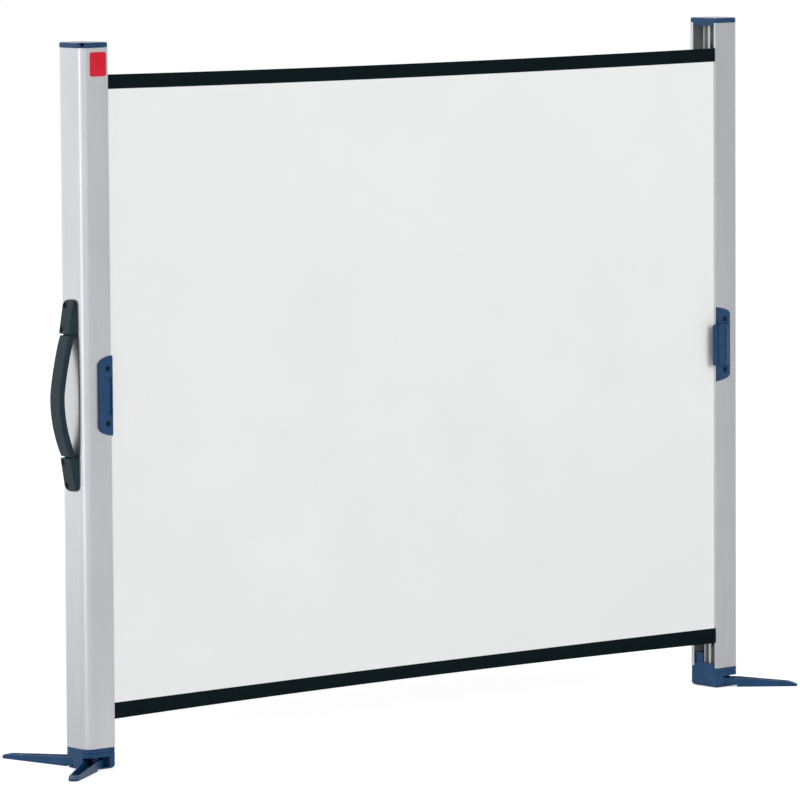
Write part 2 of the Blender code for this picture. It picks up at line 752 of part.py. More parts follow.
def make_roller(tube_finish, plug_finish, metal, fabric_finish):
    tube = turned("roller_tube", [(TUBE_RADIUS, TUBE_BOTTOM), (TUBE_RADIUS, TUBE_TOP)], tube_finish)
    bore = TUBE_RADIUS - TUBE_WALL
    cut(tube, turned("bore", [(bore, TUBE_BOTTOM - OVERRUN), (bore, TUBE_TOP + OVERRUN)], tube_finish))

    plug_radius = bore - SEAT_GAP
    flange_radius = TUBE_RADIUS - FLANGE_MARGIN
    rod_hole = ROD_RADIUS + RUN_GAP
    flange_top = FLANGE_BOTTOM + FLANGE_THICKNESS
    plug_top = flange_top + PLUG_LENGTH
    lower = turned("roller_lower_plug", [
        (flange_radius, FLANGE_BOTTOM), (flange_radius, flange_top),
        (plug_radius, flange_top), (plug_radius, plug_top),
    ], plug_finish)
    cut(lower, round_tool("hole", (0, 0), rod_hole, FLANGE_BOTTOM - OVERRUN, plug_top + OVERRUN, "Z", plug_finish))

    flange = TUBE_TOP + SEAT_GAP
    turned("roller_upper_plug", [
        (plug_radius, TUBE_TOP - PLUG_LENGTH), (plug_radius, flange),
        (flange_radius, flange), (flange_radius, flange + FLANGE_THICKNESS),
        (ROD_RADIUS, flange + FLANGE_THICKNESS), (ROD_RADIUS, flange + FLANGE_THICKNESS + JOURNAL_LENGTH),
    ], plug_finish)

    rod_bottom = BASE_HEIGHT + PLUG_RISE - ROD_SOCKET + SEAT_GAP
    collar = plug_top + SEAT_GAP * 2
    turned("spring_rod", [
        (ROD_RADIUS, rod_bottom), (ROD_RADIUS, collar), (COLLAR_RADIUS, collar),
        (COLLAR_RADIUS, collar + COLLAR_THICKNESS), (ROD_RADIUS, collar + COLLAR_THICKNESS),
        (ROD_RADIUS, rod_bottom + ROD_LENGTH),
    ], metal, steps=SMALL_STEPS)

    spring_low = collar + COLLAR_THICKNESS + SEAT_GAP + SPRING_WIRE
    make_spring(spring_low, metal)
    anchor_low = spring_low + SPRING_LENGTH + SPRING_WIRE + SEAT_GAP
    anchor = turned("spring_anchor", [
        (plug_radius, anchor_low), (plug_radius, anchor_low + ANCHOR_LENGTH),
    ], plug_finish)
    high = anchor_low + ANCHOR_LENGTH + OVERRUN
    cut(anchor, round_tool("hole", (0, 0), rod_hole, anchor_low - OVERRUN, high, "Z", plug_finish))

    washer_top = WASHER_BOTTOM + WASHER_THICKNESS
    washer = turned("brake_washer", [(WASHER_RADIUS, WASHER_BOTTOM), (WASHER_RADIUS, washer_top)], metal)
    cut(washer, round_tool("hole", (0, 0), rod_hole, WASHER_BOTTOM - OVERRUN, washer_top + OVERRUN, "Z", metal))

    boss = HOUSING_TOP - BEARING_BOSS_DROP - SEAT_GAP
    low = boss - BEARING_FLANGE
    top = boss + BEARING_LENGTH - BEARING_FLANGE
    bearing = turned("roller_bearing", [
        (BEARING_BOSS_RADIUS, low), (BEARING_BOSS_RADIUS, boss), (BEARING_RADIUS, boss), (BEARING_RADIUS, top),
    ], plug_finish)
    cut(bearing, round_tool("hole", (0, 0), rod_hole, low - OVERRUN, top + OVERRUN, "Z", plug_finish))

    fabric_top = FABRIC_BOTTOM + FABRIC_HEIGHT
    roll = turned("fabric_roll", [(ROLL_RADIUS, FABRIC_BOTTOM), (ROLL_RADIUS, fabric_top)], fabric_finish)
    core = TUBE_RADIUS + SEAT_GAP
    cut(roll, turned("core", [(core, FABRIC_BOTTOM - OVERRUN), (core, fabric_top + OVERRUN)], fabric_finish))


def make_spring(low, finish):
    """The roller's torsion spring, round the fixed rod."""
    body = bmesh.new()
    count = SPRING_TURNS * SPRING_STEPS
    rings = []
    for step in range(count + 1):
        share = step / count
        angle = 2 * math.pi * SPRING_TURNS * share
        centre = Vector((SPRING_RADIUS * math.cos(angle), SPRING_RADIUS * math.sin(angle), low + SPRING_LENGTH * share))
        outward = Vector((math.cos(angle), math.sin(angle), 0))
        ring = []
        for side in range(SPRING_SIDES):
            turn = 2 * math.pi * side / SPRING_SIDES
            offset = outward * math.cos(turn) + Vector((0, 0, 1)) * math.sin(turn)
            ring.append(body.verts.new(centre + offset * SPRING_WIRE))
        rings.append(ring)
    for below, above in zip(rings, rings[1:]):
        for side in range(SPRING_SIDES):
            after = (side + 1) % SPRING_SIDES
            body.faces.new((below[side], below[after], above[after], above[side]))
    body.faces.new(rings[0])
    body.faces.new(rings[-1])
    return from_bmesh("roller_spring", body, finish)


# Fabric

def fabric_path():
    """The fabric's middle line in plan, from the roller to the clamp bar in the right post."""
    exit_left = Vector((mouth_x("left") - LIP_THICKNESS / 2, FABRIC_Q - POST_DEPTH / 2))
    exit_right = Vector((mouth_x("right") + LIP_THICKNESS / 2, FABRIC_Q - POST_DEPTH / 2))
    radius = ROLL_RADIUS + SEAT_GAP + FABRIC_THICKNESS / 2
    away = math.atan2(exit_left.y, exit_left.x) - math.acos(radius / exit_left.length)
    tangent = Vector((radius * math.cos(away), radius * math.sin(away)))
    points = [tangent, tangent.lerp(exit_left, 0.5)]
    for step in range(BOW_STEPS + 1):
        share = step / BOW_STEPS
        middle = exit_left.lerp(exit_right, share)
        points.append(Vector((middle.x, middle.y + FABRIC_BOW * 4 * share * (1 - share))))
    clamp = mouth_x("right") + clamp_bar_p()[0] - SEAT_GAP
    points.append(Vector((clamp, exit_right.y)))
    return points


def make_fabric(finish):
    points = fabric_path()
    front, back = [], []
    for index, point in enumerate(points):
        before = points[max(index - 1, 0)]
        after = points[min(index + 1, len(points) - 1)]
        direction = (after - before).normalized()
        normal = Vector((direction.y, -direction.x)) * FABRIC_THICKNESS / 2
        front.append(point + normal)
        back.append(point - normal)
    outline = [(point.x, point.y) for point in front + back[::-1]]
    return prism("screen_fabric", outline, FABRIC_BOTTOM, FABRIC_BOTTOM + FABRIC_HEIGHT, finish)


def clamp_bar_p():
    low = RIB_TIP + RIB_THICKNESS + SEAT_GAP * 2
    return low, low + CLAMP_BAR_THICKNESS


def make_clamp_bar(finish):
    """The bar in the hem of the fabric, held behind the head of the clamp rib."""
    p0, p1 = clamp_bar_p()
    q0 = WALL + SEAT_GAP
    q1 = CLAMP_RIB_Q - SEAT_GAP
    low = FABRIC_BOTTOM - CLAMP_BAR_MARGIN
    high = FABRIC_BOTTOM + FABRIC_HEIGHT + CLAMP_BAR_MARGIN
    return pq_block("fabric_clamp_bar", "right", p0, p1, q0, q1, low, high, finish)


# Handle

def make_bracket(name, upward, finish):
    """One end of the handle. upward is +1 for the upper bracket and -1 for the lower one."""
    inner = HANDLE_LENGTH / 2 - BRACKET_LENGTH
    edge = BRACKET_EDGE
    slope_end = BRACKET_LENGTH - BRACKET_NOSE
    side = [
        (0, SEAT_GAP), (0, BRACKET_HIGH - edge), *arc((edge, BRACKET_HIGH - edge), edge, 180, 95, 3),
        (slope_end, BRACKET_LOW), (BRACKET_LENGTH - edge, BRACKET_LOW * 0.7),
        (BRACKET_LENGTH, BRACKET_LOW / 2), (BRACKET_LENGTH, SEAT_GAP),
    ]
    profile = [(-POST_WIDTH / 2 - h, t) for t, h in side]
    y0, y1 = HANDLE_OFFSET - BRACKET_WIDTH / 2, HANDLE_OFFSET + BRACKET_WIDTH / 2
    bracket = prism(name, profile, y0, y1, finish, "Y")
    end = BRACKET_END_RADIUS
    plan = rounded_box(y0, y1, 0, BRACKET_LENGTH, (edge / 2, edge / 2, end, end), ARC_STEPS)
    outer = -POST_WIDTH / 2 - BRACKET_HIGH - OVERRUN
    combine(bracket, prism("plan", plan, outer, 0, finish, "X"), "INTERSECT")
    bevelled(bracket, edge / 2, 2, 60)
    x1 = -POST_WIDTH / 2 - TONGUE_LIFT + SEAT_GAP
    x0 = x1 - TONGUE_THICKNESS - 2 * SEAT_GAP
    slot_half = TONGUE_WIDTH / 2 + SEAT_GAP
    slot = box_outline(x0, x1, -OVERRUN, TONGUE_LENGTH - STRAP_GAP + SEAT_GAP * 2)
    cut(bracket, prism("slot", slot, HANDLE_OFFSET - slot_half, HANDLE_OFFSET + slot_half, finish, "Y"))
    screw_y = HANDLE_OFFSET + HANDLE_SCREW_OFFSET
    for t, seat in handle_screws():
        seat_x = -POST_WIDTH / 2 - seat + SEAT_GAP
        head = SCREW_HEAD_RADIUS + SEAT_GAP
        shank = SCREW_SHANK_RADIUS + SEAT_GAP
        cut(bracket, round_tool("head_hole", (screw_y, t), head, outer, seat_x, "X", finish))
        cut(bracket, round_tool("shank_hole", (screw_y, t), shank, outer, 0, "X", finish))
    flip = Matrix.Diagonal((1, 1, upward, 1))
    move(bracket, Matrix.Translation((0, 0, HANDLE_LEVEL)) @ flip @ Matrix.Translation((0, 0, inner)))
    return bracket


def handle_screws():
    return [(HANDLE_SCREW_NEAR, HANDLE_SEAT_NEAR), (HANDLE_SCREW_FAR, HANDLE_SEAT_FAR)]


def handle_screw_levels():
    """Each handle screw's height and how far its head's seat stands off the post."""
    inner = HANDLE_LENGTH / 2 - BRACKET_LENGTH
    return [
        (HANDLE_LEVEL + upward * (inner + t), seat) for upward in (1, -1) for t, seat in handle_screws()
    ]


def make_strap(finish):
    """The grip: a flexible strap bowed away from the post, with a tongue at each end."""
    reach = HANDLE_LENGTH / 2 - BRACKET_LENGTH - STRAP_GAP
    low = STRAP_END_LIFT + STRAP_THICKNESS / 2
    rise = STRAP_MID_LIFT - STRAP_END_LIFT
    half, thick, chamfer = STRAP_WIDTH / 2, STRAP_THICKNESS / 2, STRAP_CHAMFER
    loop = [
        (half - chamfer, thick), (half, thick - chamfer), (half, chamfer - thick), (half - chamfer, -thick),
        (chamfer - half, -thick), (-half, chamfer - thick), (-half, thick - chamfer), (chamfer - half, thick),
    ]
    rings = []
    for step in range(STRAP_STEPS + 1):
        share = 2 * step / STRAP_STEPS - 1
        lift = low + rise * (1 - share**2)
        lean = math.atan2(-2 * rise * share, reach) * (1 - share**8)
        ring = []
        for across, out in loop:
            x = -POST_WIDTH / 2 - lift - out * math.cos(lean)
            z = HANDLE_LEVEL + share * reach - out * math.sin(lean)
            ring.append((x, HANDLE_OFFSET + across, z))
        rings.append(ring)
    strap = loft("handle_strap", rings, finish)
    x1 = -POST_WIDTH / 2 - TONGUE_LIFT
    half = TONGUE_WIDTH / 2
    outline = box_outline(x1 - TONGUE_THICKNESS, x1, HANDLE_OFFSET - half, HANDLE_OFFSET + half)
    for upward in (1, -1):
        ends = sorted(HANDLE_LEVEL + upward * (reach + extra) for extra in (-TONGUE_SINK, TONGUE_LENGTH))
        join(strap, prism("tongue", outline, ends[0], ends[1], finish))
        level = HANDLE_LEVEL + upward * (HANDLE_LENGTH / 2 - BRACKET_LENGTH + HANDLE_SCREW_NEAR)
        place = (HANDLE_OFFSET + HANDLE_SCREW_OFFSET, level)
        cut(strap, round_tool("hole", place, SCREW_SHANK_RADIUS + SEAT_GAP, -POST_WIDTH, 0, "X", finish))
    return strap


# Latch and catch

def keeper_outline(width, slant, outer_radius):
    """Plate outline in (distance from the mouth, height from the middle).

    The mouth side is straight and full height, and both ends curve back to the other side.
    """
    half = KEEPER_HEIGHT / 2
    short = half - slant
    steps = ARC_STEPS
    upper = []
    for step in range(steps + 1):
        share = step / steps
        upper.append((KEEPER_EDGE + (width - outer_radius - KEEPER_EDGE) * share, half - slant * share**2))
    top_corner = arc((width - outer_radius, short - outer_radius), outer_radius, 80, 0, steps)
    right = upper + top_corner
    lower = [(p, -z) for p, z in reversed(right)]
    return [(0, half - KEEPER_EDGE), *right, *lower, (0, KEEPER_EDGE - half)]


def keeper_plate(name, side, width, slant, corner, finish):
    """A moulded plate on a post's front face. Its ends slope down to the face."""
    steps = [(SEAT_GAP, 0)]
    for step in range(FILLET_STEPS + 1):
        angle = math.pi / 2 * step / FILLET_STEPS
        steps.append((KEEPER_FOOT + (KEEPER_THICKNESS - KEEPER_FOOT) * math.sin(angle), 1 - math.cos(angle)))
    middle = width / 2
    rings = []
    for out, share in steps:
        shrink_p = 1 - share * 2 * KEEPER_EDGE / width
        shrink_z = 1 - share * 2 * KEEPER_END_SLOPE / KEEPER_HEIGHT
        ring = []
        for p, z in keeper_outline(width, slant, corner):
            x = mouth_x(side) + inward(side) * (middle + (p - middle) * shrink_p)
            ring.append((x, -POST_DEPTH / 2 - out, LATCH_LEVEL + z * shrink_z))
        rings.append(ring)
    return loft(name, rings, finish)


def keeper_screw_places(side):
    p = CATCH_SCREW_P if side == "left" else LATCH_SCREW_P
    x = mouth_x(side) + inward(side) * p
    return [(x, LATCH_LEVEL + half * KEEPER_SCREW_SPACING / 2) for half in (1, -1)]


def drill_keeper(plate, side, finish):
    front = -POST_DEPTH / 2
    outer = front - 2 * KEEPER_THICKNESS
    for place in keeper_screw_places(side):
        head = SCREW_HEAD_RADIUS + SEAT_GAP
        shank = SCREW_SHANK_RADIUS + SEAT_GAP
        cut(plate, round_tool("head_hole", place, head, outer, front - KEEPER_SCREW_SEAT, "Y", finish))
        cut(plate, round_tool("shank_hole", place, shank, outer, front + OVERRUN, "Y", finish))


def make_catch(finish):
    plate = keeper_plate("catch_plate", "left", CATCH_WIDTH, CATCH_SLANT, CATCH_CORNER, finish)
    front = -POST_DEPTH / 2
    x1 = mouth_x("left") - RECESS_RIM
    radius = RECESS_WIDTH / 4
    half = RECESS_HEIGHT / 2
    outline = rounded_box(
        x1 - RECESS_WIDTH, x1, LATCH_LEVEL - half, LATCH_LEVEL + half, (radius,) * 4, 4
    )
    floor = front - KEEPER_THICKNESS + RECESS_DEPTH
    cut(plate, prism("recess", outline, floor - KEEPER_THICKNESS, floor, finish, "Y"))
    drill_keeper(plate, "left", finish)
    return plate


def latch_pin_place():
    return mouth_x("right") + LATCH_PIN_P, -POST_DEPTH / 2 - LATCH_PIN_OUT


def make_latch_plate(finish):
    plate = keeper_plate("latch_plate", "right", LATCH_WIDTH, LATCH_SLANT, LATCH_CORNER, finish)
    front = -POST_DEPTH / 2
    half = LEVER_HEIGHT / 2 + LEVER_END_GAP
    x0 = mouth_x("right") - OVERRUN
    x1 = mouth_x("right") + LEVER_BACK + RUN_GAP
    opening = box_outline(x0, x1, LATCH_LEVEL - half, LATCH_LEVEL + half)
    cut(plate, prism("opening", opening, front - 2 * KEEPER_THICKNESS, front + OVERRUN, finish, "Y"))
    drill_keeper(plate, "right", finish)
    reach = half + LATCH_PIN_REACH + SEAT_GAP
    hole = LATCH_PIN_RADIUS + SEAT_GAP
    cut(plate, round_tool(
        "pin_hole", latch_pin_place(), hole, LATCH_LEVEL - reach, LATCH_LEVEL + reach, "Z", finish
    ))
    return plate


def make_lever(finish):
    """The latch lever: a half-round grip, and a tongue past the post's edge with a lip and a barb."""
    edge = mouth_x("right")
    front = -POST_DEPTH / 2
    under = front - KEEPER_THICKNESS - LEVER_LIFT
    tongue_front = under - LEVER_TONGUE_THICKNESS
    heel = front - LEVER_LIFT - SEAT_GAP
    crest = front - KEEPER_THICKNESS - LEVER_BULGE
    grip = []
    for step in range(2 * ARC_STEPS + 1):
        angle = math.pi * step / (2 * ARC_STEPS)
        back = 2 * step <= 2 * ARC_STEPS
        floor = heel if back else under
        reach = LEVER_BACK - LEVER_CREST if back else LEVER_CREST + BULGE_REACH
        y = floor + (crest - floor) * math.sin(angle) ** 0.7
        grip.append((edge + LEVER_CREST + reach * math.cos(angle), y))
    grip += [(edge + LEVER_FRONT, under), (edge + LEVER_FRONT, heel)]
    half = LEVER_HEIGHT / 2
    low, high = LATCH_LEVEL - half, LATCH_LEVEL + half
    lever = prism("latch_lever", grip, low, high, finish)
    corner = LEVER_TONGUE_THICKNESS
    tongue = prism("tongue", rounded_box(
        edge - TONGUE_REACH, edge + LEVER_CREST, low, high, (corner, 0.1 * corner, 0.1 * corner, corner), 4
    ), tongue_front, under, finish, "Y")
    start, end = edge - VALLEY_START, edge + LEVER_CREST + OVERRUN
    floor = tongue_front + VALLEY_DEPTH
    outer = tongue_front - OVERRUN
    valley = [(start - VALLEY_DEPTH, outer), (end, outer), (end, floor), (start, floor), (start - VALLEY_DEPTH, tongue_front)]
    cut(tongue, prism("valley", valley, low - OVERRUN, high + OVERRUN, finish))
    join(lever, tongue)
    barb_x = edge - BARB_START
    barb = box_outline(barb_x, barb_x + BARB_WIDTH, under - VALLEY_DEPTH / 4, under + BARB_DEPTH)
    join(lever, prism("barb", barb, LATCH_LEVEL - BARB_HEIGHT / 2, LATCH_LEVEL + BARB_HEIGHT / 2, finish))
    hole = LATCH_PIN_RADIUS + RUN_GAP
    cut(lever, round_tool("pin_hole", latch_pin_place(), hole, low - OVERRUN, high + OVERRUN, "Z", finish))
    set_origin(lever, (*latch_pin_place(), LATCH_LEVEL))
    return lever


def make_latch_pin(finish):
    reach = LEVER_HEIGHT / 2 + LEVER_END_GAP + LATCH_PIN_REACH
    profile = [(LATCH_PIN_RADIUS, LATCH_LEVEL - reach), (LATCH_PIN_RADIUS, LATCH_LEVEL + reach)]
    return turned("latch_pin", profile, finish, latch_pin_place(), SMALL_STEPS)


def make_leaf_spring(finish):
    """The flat spring under the lever's grip."""
    x0 = mouth_x("right") + LEVER_FRONT + RUN_GAP
    front = -POST_DEPTH / 2 - SEAT_GAP
    outline = box_outline(x0, x0 + LEAF_WIDTH, LATCH_LEVEL - LEAF_HEIGHT / 2, LATCH_LEVEL + LEAF_HEIGHT / 2)
    return prism("latch_leaf_spring", outline, front - LEAF_THICKNESS, front, finish, "Y")


def drill_housings(left, right, finish):
    """Clearance holes in the extrusions for the screws of the handle, catch and latch."""
    hole = SCREW_SHANK_RADIUS + SEAT_GAP
    front = -POST_DEPTH / 2
    for level, _ in handle_screw_levels():
        low, high = -POST_WIDTH / 2 - OVERRUN, -POST_WIDTH / 2 + WALL + OVERRUN
        place = (HANDLE_OFFSET + HANDLE_SCREW_OFFSET, level)
        cut(left, round_tool("hole", place, hole, low, high, "X", finish))
    for housing, side in ((left, "left"), (right, "right")):
        for place in keeper_screw_places(side):
            cut(housing, round_tool("hole", place, hole, front - OVERRUN, front + WALL + OVERRUN, "Y", finish))


def make_wall_screws(finish):
    for number, (level, seat) in enumerate(handle_screw_levels(), 1):
        place = (-POST_WIDTH / 2 - seat, HANDLE_OFFSET + HANDLE_SCREW_OFFSET, level)
        make_screw(f"handle_screw_{number}", place, (1, 0, 0), seat + WALL + WALL_SCREW_REACH, finish)
    for side, name in (("left", "catch"), ("right", "latch")):
        for number, (x, z) in enumerate(keeper_screw_places(side), 1):
            place = (x, -POST_DEPTH / 2 - KEEPER_SCREW_SEAT - SEAT_GAP, z)
            length = KEEPER_SCREW_SEAT + WALL + WALL_SCREW_REACH
            make_screw(f"{name}_screw_{number}", place, (0, 1, 0), length, finish)


def main():
    remove_everything()
    aluminium = make_material("anodised_aluminium", (0.55, 0.55, 0.57), 0.38, 0.9)
    blue = make_material("blue_moulded_plastic", (0.020, 0.055, 0.150), 0.35, 0.0)
    slate = make_material("slate_moulded_plastic", (0.045, 0.075, 0.090), 0.50, 0.0)
    steel = make_material("zinc_plated_steel", (0.50, 0.50, 0.50), 0.35, 1.0)
    dark_steel = make_material("black_oxide_steel", (0.05, 0.05, 0.05), 0.40, 1.0)
    white_plastic = make_material("white_moulded_plastic", (0.75, 0.75, 0.75), 0.45, 0.0)
    fabric = make_material("matt_white_screen_fabric", (0.84, 0.84, 0.84), 0.90, 0.0)

    left_housing = make_housing("left", aluminium)
    right_housing = make_housing("right", aluminium)
    drill_housings(left_housing, right_housing, aluminium)
    for side in ("left", "right"):
        make_cap(side, blue)
        make_base(side, blue)
        make_base_plate(side, blue)
        make_base_screws(side, steel)
        for place in ("front", "rear"):
            make_foot(side, place, blue)
            make_foot_pin(side, place, steel)

    make_roller(aluminium, white_plastic, steel, fabric)
    make_fabric(fabric)
    make_clamp_bar(slate)

    make_bracket("handle_upper_bracket", 1, slate)
    make_bracket("handle_lower_bracket", -1, slate)
    make_strap(slate)
    make_catch(blue)
    make_latch_plate(blue)
    make_lever(blue)
    make_latch_pin(steel)
    make_leaf_spring(steel)
    make_wall_screws(dark_steel)


main()
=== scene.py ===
"""Looks for a tabletop projection screen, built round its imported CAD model.

Metres, +Z up. +X runs along the screen from the roller post to the clamp post, and -Y is
the side that faces the viewers.
"""

import json
import math

import bmesh
import bpy
from mathutils import Matrix, Vector

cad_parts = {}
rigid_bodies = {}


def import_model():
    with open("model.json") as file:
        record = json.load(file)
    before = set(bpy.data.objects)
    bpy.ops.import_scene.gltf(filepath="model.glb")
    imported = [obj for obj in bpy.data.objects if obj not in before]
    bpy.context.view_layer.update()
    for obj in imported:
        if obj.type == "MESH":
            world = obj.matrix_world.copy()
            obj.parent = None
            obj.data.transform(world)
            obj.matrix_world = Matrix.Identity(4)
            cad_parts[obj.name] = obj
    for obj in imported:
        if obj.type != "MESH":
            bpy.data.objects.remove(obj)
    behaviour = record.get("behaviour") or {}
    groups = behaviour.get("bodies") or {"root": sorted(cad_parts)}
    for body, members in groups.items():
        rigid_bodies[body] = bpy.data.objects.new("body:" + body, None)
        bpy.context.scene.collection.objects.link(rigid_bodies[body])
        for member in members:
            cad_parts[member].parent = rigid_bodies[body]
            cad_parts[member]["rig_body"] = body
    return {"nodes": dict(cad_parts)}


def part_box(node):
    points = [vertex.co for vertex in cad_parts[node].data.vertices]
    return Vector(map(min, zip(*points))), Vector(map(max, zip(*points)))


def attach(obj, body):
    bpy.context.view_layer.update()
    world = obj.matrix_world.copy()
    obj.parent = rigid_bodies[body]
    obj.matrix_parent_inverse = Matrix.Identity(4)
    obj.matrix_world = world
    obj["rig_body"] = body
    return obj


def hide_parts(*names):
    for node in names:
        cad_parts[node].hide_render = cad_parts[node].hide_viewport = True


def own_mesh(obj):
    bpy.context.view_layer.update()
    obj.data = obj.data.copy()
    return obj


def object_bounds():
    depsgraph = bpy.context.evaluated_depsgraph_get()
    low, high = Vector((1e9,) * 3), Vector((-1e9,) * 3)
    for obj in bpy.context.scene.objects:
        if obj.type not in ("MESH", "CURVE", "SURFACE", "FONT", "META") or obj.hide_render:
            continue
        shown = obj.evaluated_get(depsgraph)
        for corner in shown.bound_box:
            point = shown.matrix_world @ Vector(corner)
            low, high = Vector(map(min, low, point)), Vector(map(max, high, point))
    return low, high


MM = 0.001
POST_CORNER = 11 * MM
BORE_DEPTH = 0.6 * MM

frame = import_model()
cad_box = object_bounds()
nodes = frame["nodes"]


# Camera, fitted to the edges of the posts and the cloth in the photograph

CAMERA_PLACE = (-4.7604, -6.2711, 1.2375)
CAMERA_YAW_DEG = 40.090
CAMERA_PITCH_DEG = 5.602
CAMERA_ROLL_DEG = -0.361
CAMERA_LENS = 281.95
CAMERA_SENSOR = 36
CAMERA_REACH = 100


def make_camera():
    yaw = math.radians(CAMERA_YAW_DEG)
    pitch = math.radians(CAMERA_PITCH_DEG)
    roll = math.radians(CAMERA_ROLL_DEG)
    ahead = Vector((math.sin(yaw) * math.cos(pitch), math.cos(yaw) * math.cos(pitch), -math.sin(pitch)))
    right = Vector((math.cos(yaw), -math.sin(yaw), 0))
    up = right.cross(ahead)
    turned_right = math.cos(roll) * right + math.sin(roll) * up
    turned_up = math.cos(roll) * up - math.sin(roll) * right
    data = bpy.data.cameras.new("camera")
    data.lens = CAMERA_LENS
    data.sensor_width = CAMERA_SENSOR
    data.clip_end = CAMERA_REACH
    camera = bpy.data.objects.new("camera", data)
    bpy.context.scene.collection.objects.link(camera)
    turn = Matrix((turned_right, turned_up, -ahead)).transposed().to_4x4()
    camera.matrix_world = Matrix.Translation(CAMERA_PLACE) @ turn
    bpy.context.scene.camera = camera


# Node helpers

def linear(hex_colour):
    """An sRGB hex colour as linear RGBA."""
    channels = []
    for start in (1, 3, 5):
        value = int(hex_colour[start:start + 2], 16) / 255
        channels.append(value / 12.92 if value <= 0.04045 else ((value + 0.055) / 1.055) ** 2.4)
    return (*channels, 1)


def fill(node, sockets):
    """Give a node's inputs their values. A node given as a value is linked by its first live output."""
    tree = node.id_data
    for key, given in sockets.items():
        for value in given if isinstance(given, list) else [given]:
            if isinstance(value, bpy.types.Node):
                value = next(output for output in value.outputs if output.enabled)
            if isinstance(value, bpy.types.NodeSocket):
                tree.links.new(value, node.inputs[key])
            else:
                node.inputs[key].default_value = value


def add(tree, kind, sockets=None, **settings):
    """Add a node with its settings and its inputs."""
    node = tree.nodes.new(kind)
    for key, value in settings.items():
        setattr(node, key, value)
    fill(node, sockets or {})
    return node


def start_material(name, sockets):
    material = bpy.data.materials.new(name)
    material.use_nodes = True
    shader = material.node_tree.nodes["Principled BSDF"]
    fill(shader, sockets)
    return material, material.node_tree, shader


def grain(tree, place, size, detail=2.0, stretch=(1, 1, 1)):
    """A noise pattern whose grains are about size metres across, longer where stretch is small."""
    turned = add(tree, "ShaderNodeMapping", {"Vector": place, "Scale": stretch})
    return add(tree, "ShaderNodeTexNoise", {"Vector": turned, "Scale": 1 / size, "Detail": detail})


def between(tree, pattern, low, high, at_low, at_high):
    """A number, or a colour where hex colours are given, that follows a pattern from low to high."""
    if not isinstance(at_low, str):
        return add(tree, "ShaderNodeMapRange", {
            "Value": pattern, "From Min": low, "From Max": high, "To Min": at_low, "To Max": at_high,
        })
    share = add(tree, "ShaderNodeMapRange", {"Value": pattern, "From Min": low, "From Max": high})
    return add(tree, "ShaderNodeMix", {0: share, 6: linear(at_low), 7: linear(at_high)}, data_type="RGBA")


# Materials

def anodised_aluminium():
    """Extruded aluminium, etched and anodised: satin silver, with faint lines along it from the die."""
    material, tree, shader = start_material("anodised_aluminium_extrusion", {"Metallic": 1})
    place = add(tree, "ShaderNodeTexCoord").outputs["Object"]
    lines = grain(tree, place, 0.9 * MM, 3, (1, 1, 0.01))
    cloud = grain(tree, place, 40 * MM, 2, (1, 1, 0.25))
    both = add(tree, "ShaderNodeMath", {0: lines, 1: cloud}, operation="MULTIPLY")
    fill(shader, {
        "Base Color": between(tree, both, 0.12, 0.40, "#CCCED2", "#D7D8DC"),
        "Roughness": between(tree, lines, 0.3, 0.7, 0.30, 0.38),
        "Normal": add(tree, "ShaderNodeBump", {"Height": lines, "Distance": 0.01 * MM, "Strength": 0.15}),
    })
    return material


def extruded_bore():
    """The inside of the extrusions, as it left the die: the same metal, dull and greyer, with die lines."""
    material, tree, shader = start_material("dull_extrusion_bore", {"Metallic": 1})
    place = add(tree, "ShaderNodeTexCoord").outputs["Object"]
    lines = grain(tree, place, 1.2 * MM, 3, (1, 1, 0.01))
    fill(shader, {
        "Base Color": between(tree, lines, 0.3, 0.7, "#CDD0D1", "#DADCDD"),
        "Roughness": between(tree, lines, 0.3, 0.7, 0.70, 0.82),
    })
    return material


def moulded_plastic(name, dark, light, roughness, gloss):
    """Injection-moulded ABS: a fine spark-eroded grain that breaks up a soft highlight.

    The real grain is about 0.1 mm, too fine to show, so it is drawn at 0.6 mm.
    """
    material, tree, shader = start_material(name, {"IOR": 1.54, "Specular IOR Level": gloss})
    place = add(tree, "ShaderNodeTexCoord").outputs["Object"]
    fine = grain(tree, place, 0.6 * MM, 3)
    cloud = grain(tree, place, 18 * MM)
    both = add(tree, "ShaderNodeMath", {0: fine, 1: cloud}, operation="MULTIPLY")
    fill(shader, {
        "Base Color": between(tree, both, 0.1, 0.4, dark, light),
        "Roughness": between(tree, fine, 0.3, 0.7, roughness - 0.05, roughness + 0.06),
        "Normal": add(tree, "ShaderNodeBump", {"Height": fine, "Distance": 0.02 * MM, "Strength": 0.35}),
    })
    return material


def fastener_steel(name, dark, light, roughness):
    """Cold-headed steel with a thin finish: bright metal with the finish's faint crystalline cloud."""
    material, tree, shader = start_material(name, {"Metallic": 1})
    place = add(tree, "ShaderNodeTexCoord").outputs["Object"]
    cloud = grain(tree, place, 1.2 * MM, 3)
    fill(shader, {
        "Base Color": between(tree, cloud, 0.35, 0.65, dark, light),
        "Roughness": between(tree, cloud, 0.3, 0.7, roughness - 0.06, roughness + 0.06),
    })
    return material


THREAD_PITCH = 1.6 * MM


def weave(tree, place):
    """Height of a plain weave: two crossing sets of threads."""
    turns = 2 * math.pi / THREAD_PITCH
    split = add(tree, "ShaderNodeSeparateXYZ", {0: place}).outputs
    waves = []
    for across in (split["X"], split["Y"]):
        angle = add(tree, "ShaderNodeMath", {0: across, 1: turns}, operation="MULTIPLY")
        waves.append(add(tree, "ShaderNodeMath", {0: angle}, operation="SINE"))
    return add(tree, "ShaderNodeMath", {0: waves[0], 1: waves[1]}, operation="MULTIPLY")


